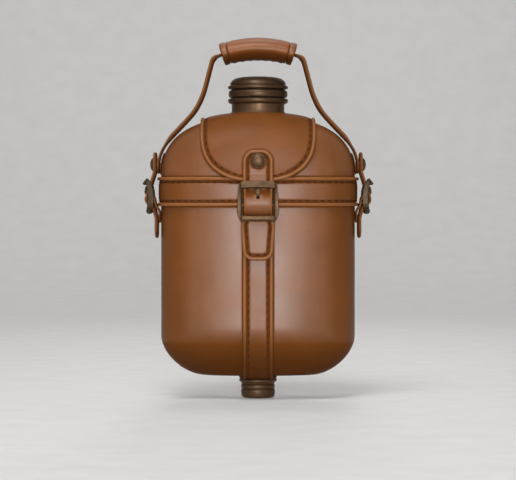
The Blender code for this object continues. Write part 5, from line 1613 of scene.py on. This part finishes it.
def make_handle_strap():
    """The carrying strap with rolled edges that thin out under the side straps and inside the grip."""
    track = Track(handle_path(), -1.0)
    thin = 0.5 * HANDLE_THICKNESS
    entry = track.total / 2 - GRIP_HALF_LENGTH

    def where(track, s, across, height):
        spot = track.off(s, height)
        return Vector((spot.x, across, SIDE_STUD_Z + spot.y))

    def size(s):
        away = min(s, track.total - s)
        full = smooth_step((away - HANDLE_END_RADIUS - 16 * MM) / (12 * MM))
        full *= smooth_step((entry - away) / (5 * MM))
        return thin + (HANDLE_WELT_RADIUS - thin) * full

    def lift(s):
        z = SIDE_STUD_Z + track.spot(s).y
        return (size(s) - thin) * smooth_step((ROLL_LIFT_FROM - z) / (ROLL_LIFT_FROM - ROLL_LIFT_TO))

    strap(
        "handle_strap_leather", track, where, HANDLE_HALF_WIDTH, (HANDLE_END_RADIUS, HANDLE_END_RADIUS),
        HANDLE_THICKNESS, "handle", ["handle_strap"], welt=["handle_strap"], welt_size=size,
        edge=DARK_EDGE_LEATHER, lift=lift,
    )


def grip_point(angle, across, out):
    """A point of the grip at an angle along its arc."""
    centre = GRIP_Z - GRIP_ARC_RADIUS
    radius = GRIP_ARC_RADIUS + out
    return Vector((radius * math.sin(angle), across, centre + radius * math.cos(angle)))


def oval(degrees, grow=0.0):
    """(across, out) on the grip's oval section."""
    a = math.radians(degrees)
    return (GRIP_HALF_DEPTH + grow) * math.cos(a), (GRIP_HALF_HEIGHT + grow) * math.sin(a)


def grip_sleeve(name, start, end, finish, nodes, swell, creases=0.0):
    """A leather sleeve on the grip between two angles, its ends turned in, with a sewn seam underneath."""
    sides = 96
    count = max(8, round((end - start) * GRIP_ARC_RADIUS / (0.8 * MM)))
    turn = GRIP_TURN_IN / GRIP_ARC_RADIUS
    quarter = [math.radians(15 * i) for i in range(6)]
    ends = [(turn * (1 - math.cos(a)), -(1 - math.sin(a)) * GRIP_TURN_IN) for a in quarter]
    rows = [(start + away, drop) for away, drop in ends]
    rows += [(start + turn + (end - start - 2 * turn) * i / count, 0.0) for i in range(count + 1)]
    rows += [(end - away, drop) for away, drop in reversed(ends)]
    verts, groove_and_shade, shaded = [], [], []
    for angle, drop in rows:
        belly = swell * math.sin(math.pi * (angle - start) / (end - start))
        for k in range(sides):
            degrees = 360.0 * k / sides
            seam = abs(math.radians(degrees - GRIP_SEAM_DEGREES)) * GRIP_HALF_DEPTH
            place = grip_point(angle, *oval(degrees))
            ripple = creases * (noise.noise(place * 120.0) + 0.5 * noise.noise(place * 260.0))
            sunk = 0.5 * MM * bell(seam, 0.7 * MM)
            verts.append(grip_point(angle, *oval(degrees, drop + belly + ripple - sunk)))
            turned_in = 0.6 if drop < -0.5 * MM else 0.0
            groove_and_shade.append(min(0.9 * bell(seam, 0.6 * MM) + turned_in, 1.0))
            # Painted shade: the grip is darker towards its underside.
            shaded.append(0.95 * smooth_step((0.1 - math.sin(math.radians(degrees))) / 0.6))
    for angle, drop in reversed(rows):
        angle = min(max(angle, start + turn), end - turn)
        verts += [grip_point(angle, *oval(360.0 * k / sides, -GRIP_WALL)) for k in range(sides)]
    inside = [0.5] * (len(verts) - len(groove_and_shade))
    marks = {"groove_and_shade": groove_and_shade + inside, "painted_shade": shaded + inside}
    faces = grid_faces(2 * len(rows), sides, wrap_rows=True)
    piece(name, verts, faces, finish, "handle", nodes, marks)


def grip_end(name, angle, sign):
    """The gathered leather that closes the grip's end round the strap."""
    sides, steps = 96, 12
    rings = []
    for depth, order in ((0.0, 1), (1.0 * MM, -1)):
        part = []
        for i in range(steps + 1):
            share = i / steps
            hump = math.sin(math.pi * share)
            out = 1.1 * MM * hump - 0.9 * MM - depth
            ring = []
            for k in range(sides):
                degrees = 360.0 * k / sides
                a = math.radians(degrees)
                pleat = 0.12 * MM * math.cos(18 * a) * hump
                wide = Vector(oval(degrees, -0.9 * MM))
                slot = Vector((
                    (HANDLE_HALF_WIDTH + 1.0 * MM) * math.copysign(abs(math.cos(a)) ** 0.35, math.cos(a)),
                    (HANDLE_THICKNESS / 2 + 1.0 * MM) * math.copysign(abs(math.sin(a)) ** 0.6, math.sin(a)),
                ))
                at = angle + sign * (out + pleat) / GRIP_ARC_RADIUS
                ring.append(grip_point(at, *wide.lerp(slot, share)))
            part.append(ring)
        rings += part[::order]
    verts = [point for ring in rings for point in ring]
    faces = grid_faces(len(rings), sides, wrap_rows=True)
    marks = {"groove_and_shade": [0.35] * len(verts)}
    piece(name, verts, faces, GRIP_LEATHER, "handle", [], marks)


def make_grip():
    """The padded grip: its wrap, its end bands, its seam and the felt inside."""
    half_angle = math.asin(GRIP_HALF_LENGTH / (GRIP_ARC_RADIUS + GRIP_HALF_HEIGHT))
    edge = half_angle - GRIP_BAND_LENGTH / GRIP_ARC_RADIUS
    gap = 0.15 * MM / GRIP_ARC_RADIUS
    grip_sleeve(
        "grip_leather_wrap", -edge, edge, GRIP_LEATHER, ["grip_wrap"], swell=0.35 * MM, creases=0.12 * MM
    )
    for name, sign in (("left", -1), ("right", 1)):
        start, end = sorted((sign * (edge + gap), sign * half_angle))
        band = "grip_band_" + name
        grip_sleeve("grip_leather_band_" + name, start, end, STRAP_LEATHER, [band], swell=0.3 * MM)
        grip_end("grip_end_" + name, sign * half_angle, sign)
    for side, name in ((-1, "front"), (1, "back")):
        degrees = GRIP_SEAM_DEGREES + side * GRIP_STITCH_DEGREES
        points, normals = [], []
        for i in range(61):
            angle = edge * (i / 30 - 1) * 0.96
            points.append(grip_point(angle, *oval(degrees, 0.1 * MM)))
            below = grip_point(angle, *oval(degrees, 1.2 * MM))
            normals.append((below - points[-1]).normalized())
        stitch_row("grip_stitches_" + name, points, normals, False, "handle")
    make_felt(half_angle)


def make_felt(half_angle):
    """The felt above and below the strap, inside the grip."""
    lift = HANDLE_THICKNESS / 2 + FIT
    wide, tall = (half - GRIP_WALL - FIT for half in (GRIP_HALF_DEPTH, GRIP_HALF_HEIGHT))
    angles = [math.pi * k / 32 for k in range(33)]
    arch = [(wide * math.cos(a), max(tall * math.sin(a), lift)) for a in angles]
    flat = [(wide * (k / 4 - 1), lift) for k in range(1, 8)]
    for name, sign in (("upper", 1), ("lower", -1)):
        rings = []
        for i in range(33):
            angle = (half_angle - 1.6 * MM / GRIP_ARC_RADIUS) * (i / 16 - 1)
            rings.append([grip_point(angle, across, sign * out) for across, out in arch + flat])
        verts, faces = loft(rings)
        nodes = ["grip_padding_" + name]
        made = piece("felt_" + name, verts, faces, FELT, "handle", nodes)


def finish_inner_nodes():
    """Better materials on the hard pieces whose shape is kept."""
    kept = {
        "vessel_front": TINNED, "vessel_back": TINNED, "outlet_tube": DARK_BRONZE,
        "cap_gasket": RUBBER, "drain_gasket": RUBBER,
    }
    for name, finish in kept.items():
        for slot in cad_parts[name].material_slots:
            slot.material = finish


# Studio

def seen_rays(tree):
    """One for what the camera sees, straight or mirrored in metal, and zero for light on the object."""
    rays = add_node(tree, "LightPath", {})
    mirrored = combine(tree, "MAXIMUM", rays["Is Glossy Ray"], rays["Is Transmission Ray"])
    return combine(tree, "MAXIMUM", rays["Is Camera Ray"], mirrored)


def make_stage():
    """A plain pale floor that curves up into a backdrop."""
    bends = [math.radians(9 * i) for i in range(1, 11)]
    profile = [(-6.0, 0.0), (1.6, 0.0)]
    profile += [(1.6 + math.sin(a), 1.0 - math.cos(a)) for a in bends]
    profile.append((2.6, 4.0))
    verts = [(x, y, z) for y, z in profile for x in (-6.0, 6.0)]
    mesh = bpy.data.meshes.new("floor")
    mesh.from_pydata(verts, [], grid_faces(len(profile), 2, wrap_columns=False))
    mesh.shade_smooth()
    made, tree, shader, place = new_material("pale_floor")
    speck = remap(tree, add_noise(tree, place, 30.0, 4.0), 0.3, 0.7, 0.0, 1.0)
    feed(tree, shader, {
        "Base Color": mix_colour(tree, speck, FLOOR_DARK, FLOOR_LIGHT),
        "Roughness": 0.9,
        "Emission Strength": remap(tree, seen_rays(tree), 0.0, 1.0, 0.0, FLOOR_LIFT),
    })
    mesh.materials.append(made)
    floor = add_object("floor", mesh)


def add_light(name, location, target, size, power, spread=180.0):
    """A soft round lamp; a narrow spread keeps it off the floor around the flask."""
    lamp = bpy.data.lights.new(name, "AREA")
    lamp.shape = "DISK"
    lamp.size = size
    lamp.energy = power
    lamp.spread = math.radians(spread)
    made = add_object(name, lamp)
    made.location = location
    made.rotation_euler = (Vector(target) - Vector(location)).to_track_quat("-Z", "Y").to_euler()
    made.visible_camera = False
    return made


def make_studio():
    """Soft light from the front and above, a weak one from behind, one on the backdrop, and a dim world."""
    world = bpy.data.worlds.new("studio")
    world.use_nodes = True
    tree = world.node_tree
    feed(tree, tree.nodes["Background"], {
        "Color": (1.0, 0.99, 0.97, 1.0),
        "Strength": remap(tree, seen_rays(tree), 0.0, 1.0, WORLD_LIGHT, WORLD_SEEN),
    })
    bpy.context.scene.world = world
    middle = (0.0, 0.0, 0.16)
    add_light("key", (0.05, -2.1, 0.36), middle, size=0.6, power=2.95, spread=60.0)
    fill = add_light("back", (0.1, 1.9, 0.8), middle, size=0.6, power=1.1, spread=50.0)
    fill.visible_glossy = False
    add_light("top_left", (-0.2, -0.8, 1.5), middle, size=0.8, power=15.0)
    add_light("backdrop", (0.0, 1.2, 2.8), (0.0, 2.9, 0.8), size=1.5, power=30.0)


def make_camera():
    """A long lens at the photograph's angle: nearly level, a little above the flask's middle."""
    lens = bpy.data.cameras.new("camera")
    lens.sensor_width = SENSOR_WIDTH
    lens.lens = CAMERA_FOCAL
    made = add_object("camera", lens)
    made.location = (0.0, -CAMERA_DISTANCE, CAMERA_HEIGHT)
    made.rotation_euler = (math.radians(90.0 - CAMERA_PITCH), 0.0, 0.0)
    bpy.context.scene.camera = made
    bpy.context.scene.view_settings.view_transform = "Standard"


make_jacket()
make_side_seams()
make_flap()
make_belt()
make_base_strap()
make_front_billet()
for side_name, side_mount in SIDE_MOUNTS.items():
    make_side_straps(side_name, side_mount)
make_stud("front_stud", FRONT_MOUNT, FRONT_STUD_Z, FLAP_LIE + STRAP_THICKNESS / 2, FIT)
make_stud("back_stud", BACK_MOUNT, FRONT_STUD_Z, FLAP_LIE + CHAPE_THICKNESS / 2 + 3 * FIT, FIT)
for side_name, side_mount in SIDE_MOUNTS.items():
    face = HANDLE_DEPTH + HANDLE_THICKNESS / 2 + LAP + STRAP_THICKNESS / 2
    make_stud(side_name + "_stud", side_mount, SIDE_STUD_Z, face, lean_in(SIDE_STUD_Z, half_width) + FIT)
    make_buckle(side_name, side_mount, SIDE_BAR_Z, SIDE_SHAPE, SHADED_SIDE_BRONZE)
make_buckle("front", FRONT_MOUNT, FRONT_BAR_Z, FRONT_SHAPE, BUCKLE_BRONZE)
make_cap()
make_neck()
make_outlet()
make_handle_strap()
make_grip()
finish_inner_nodes()
make_stage()
make_studio()
make_camera()
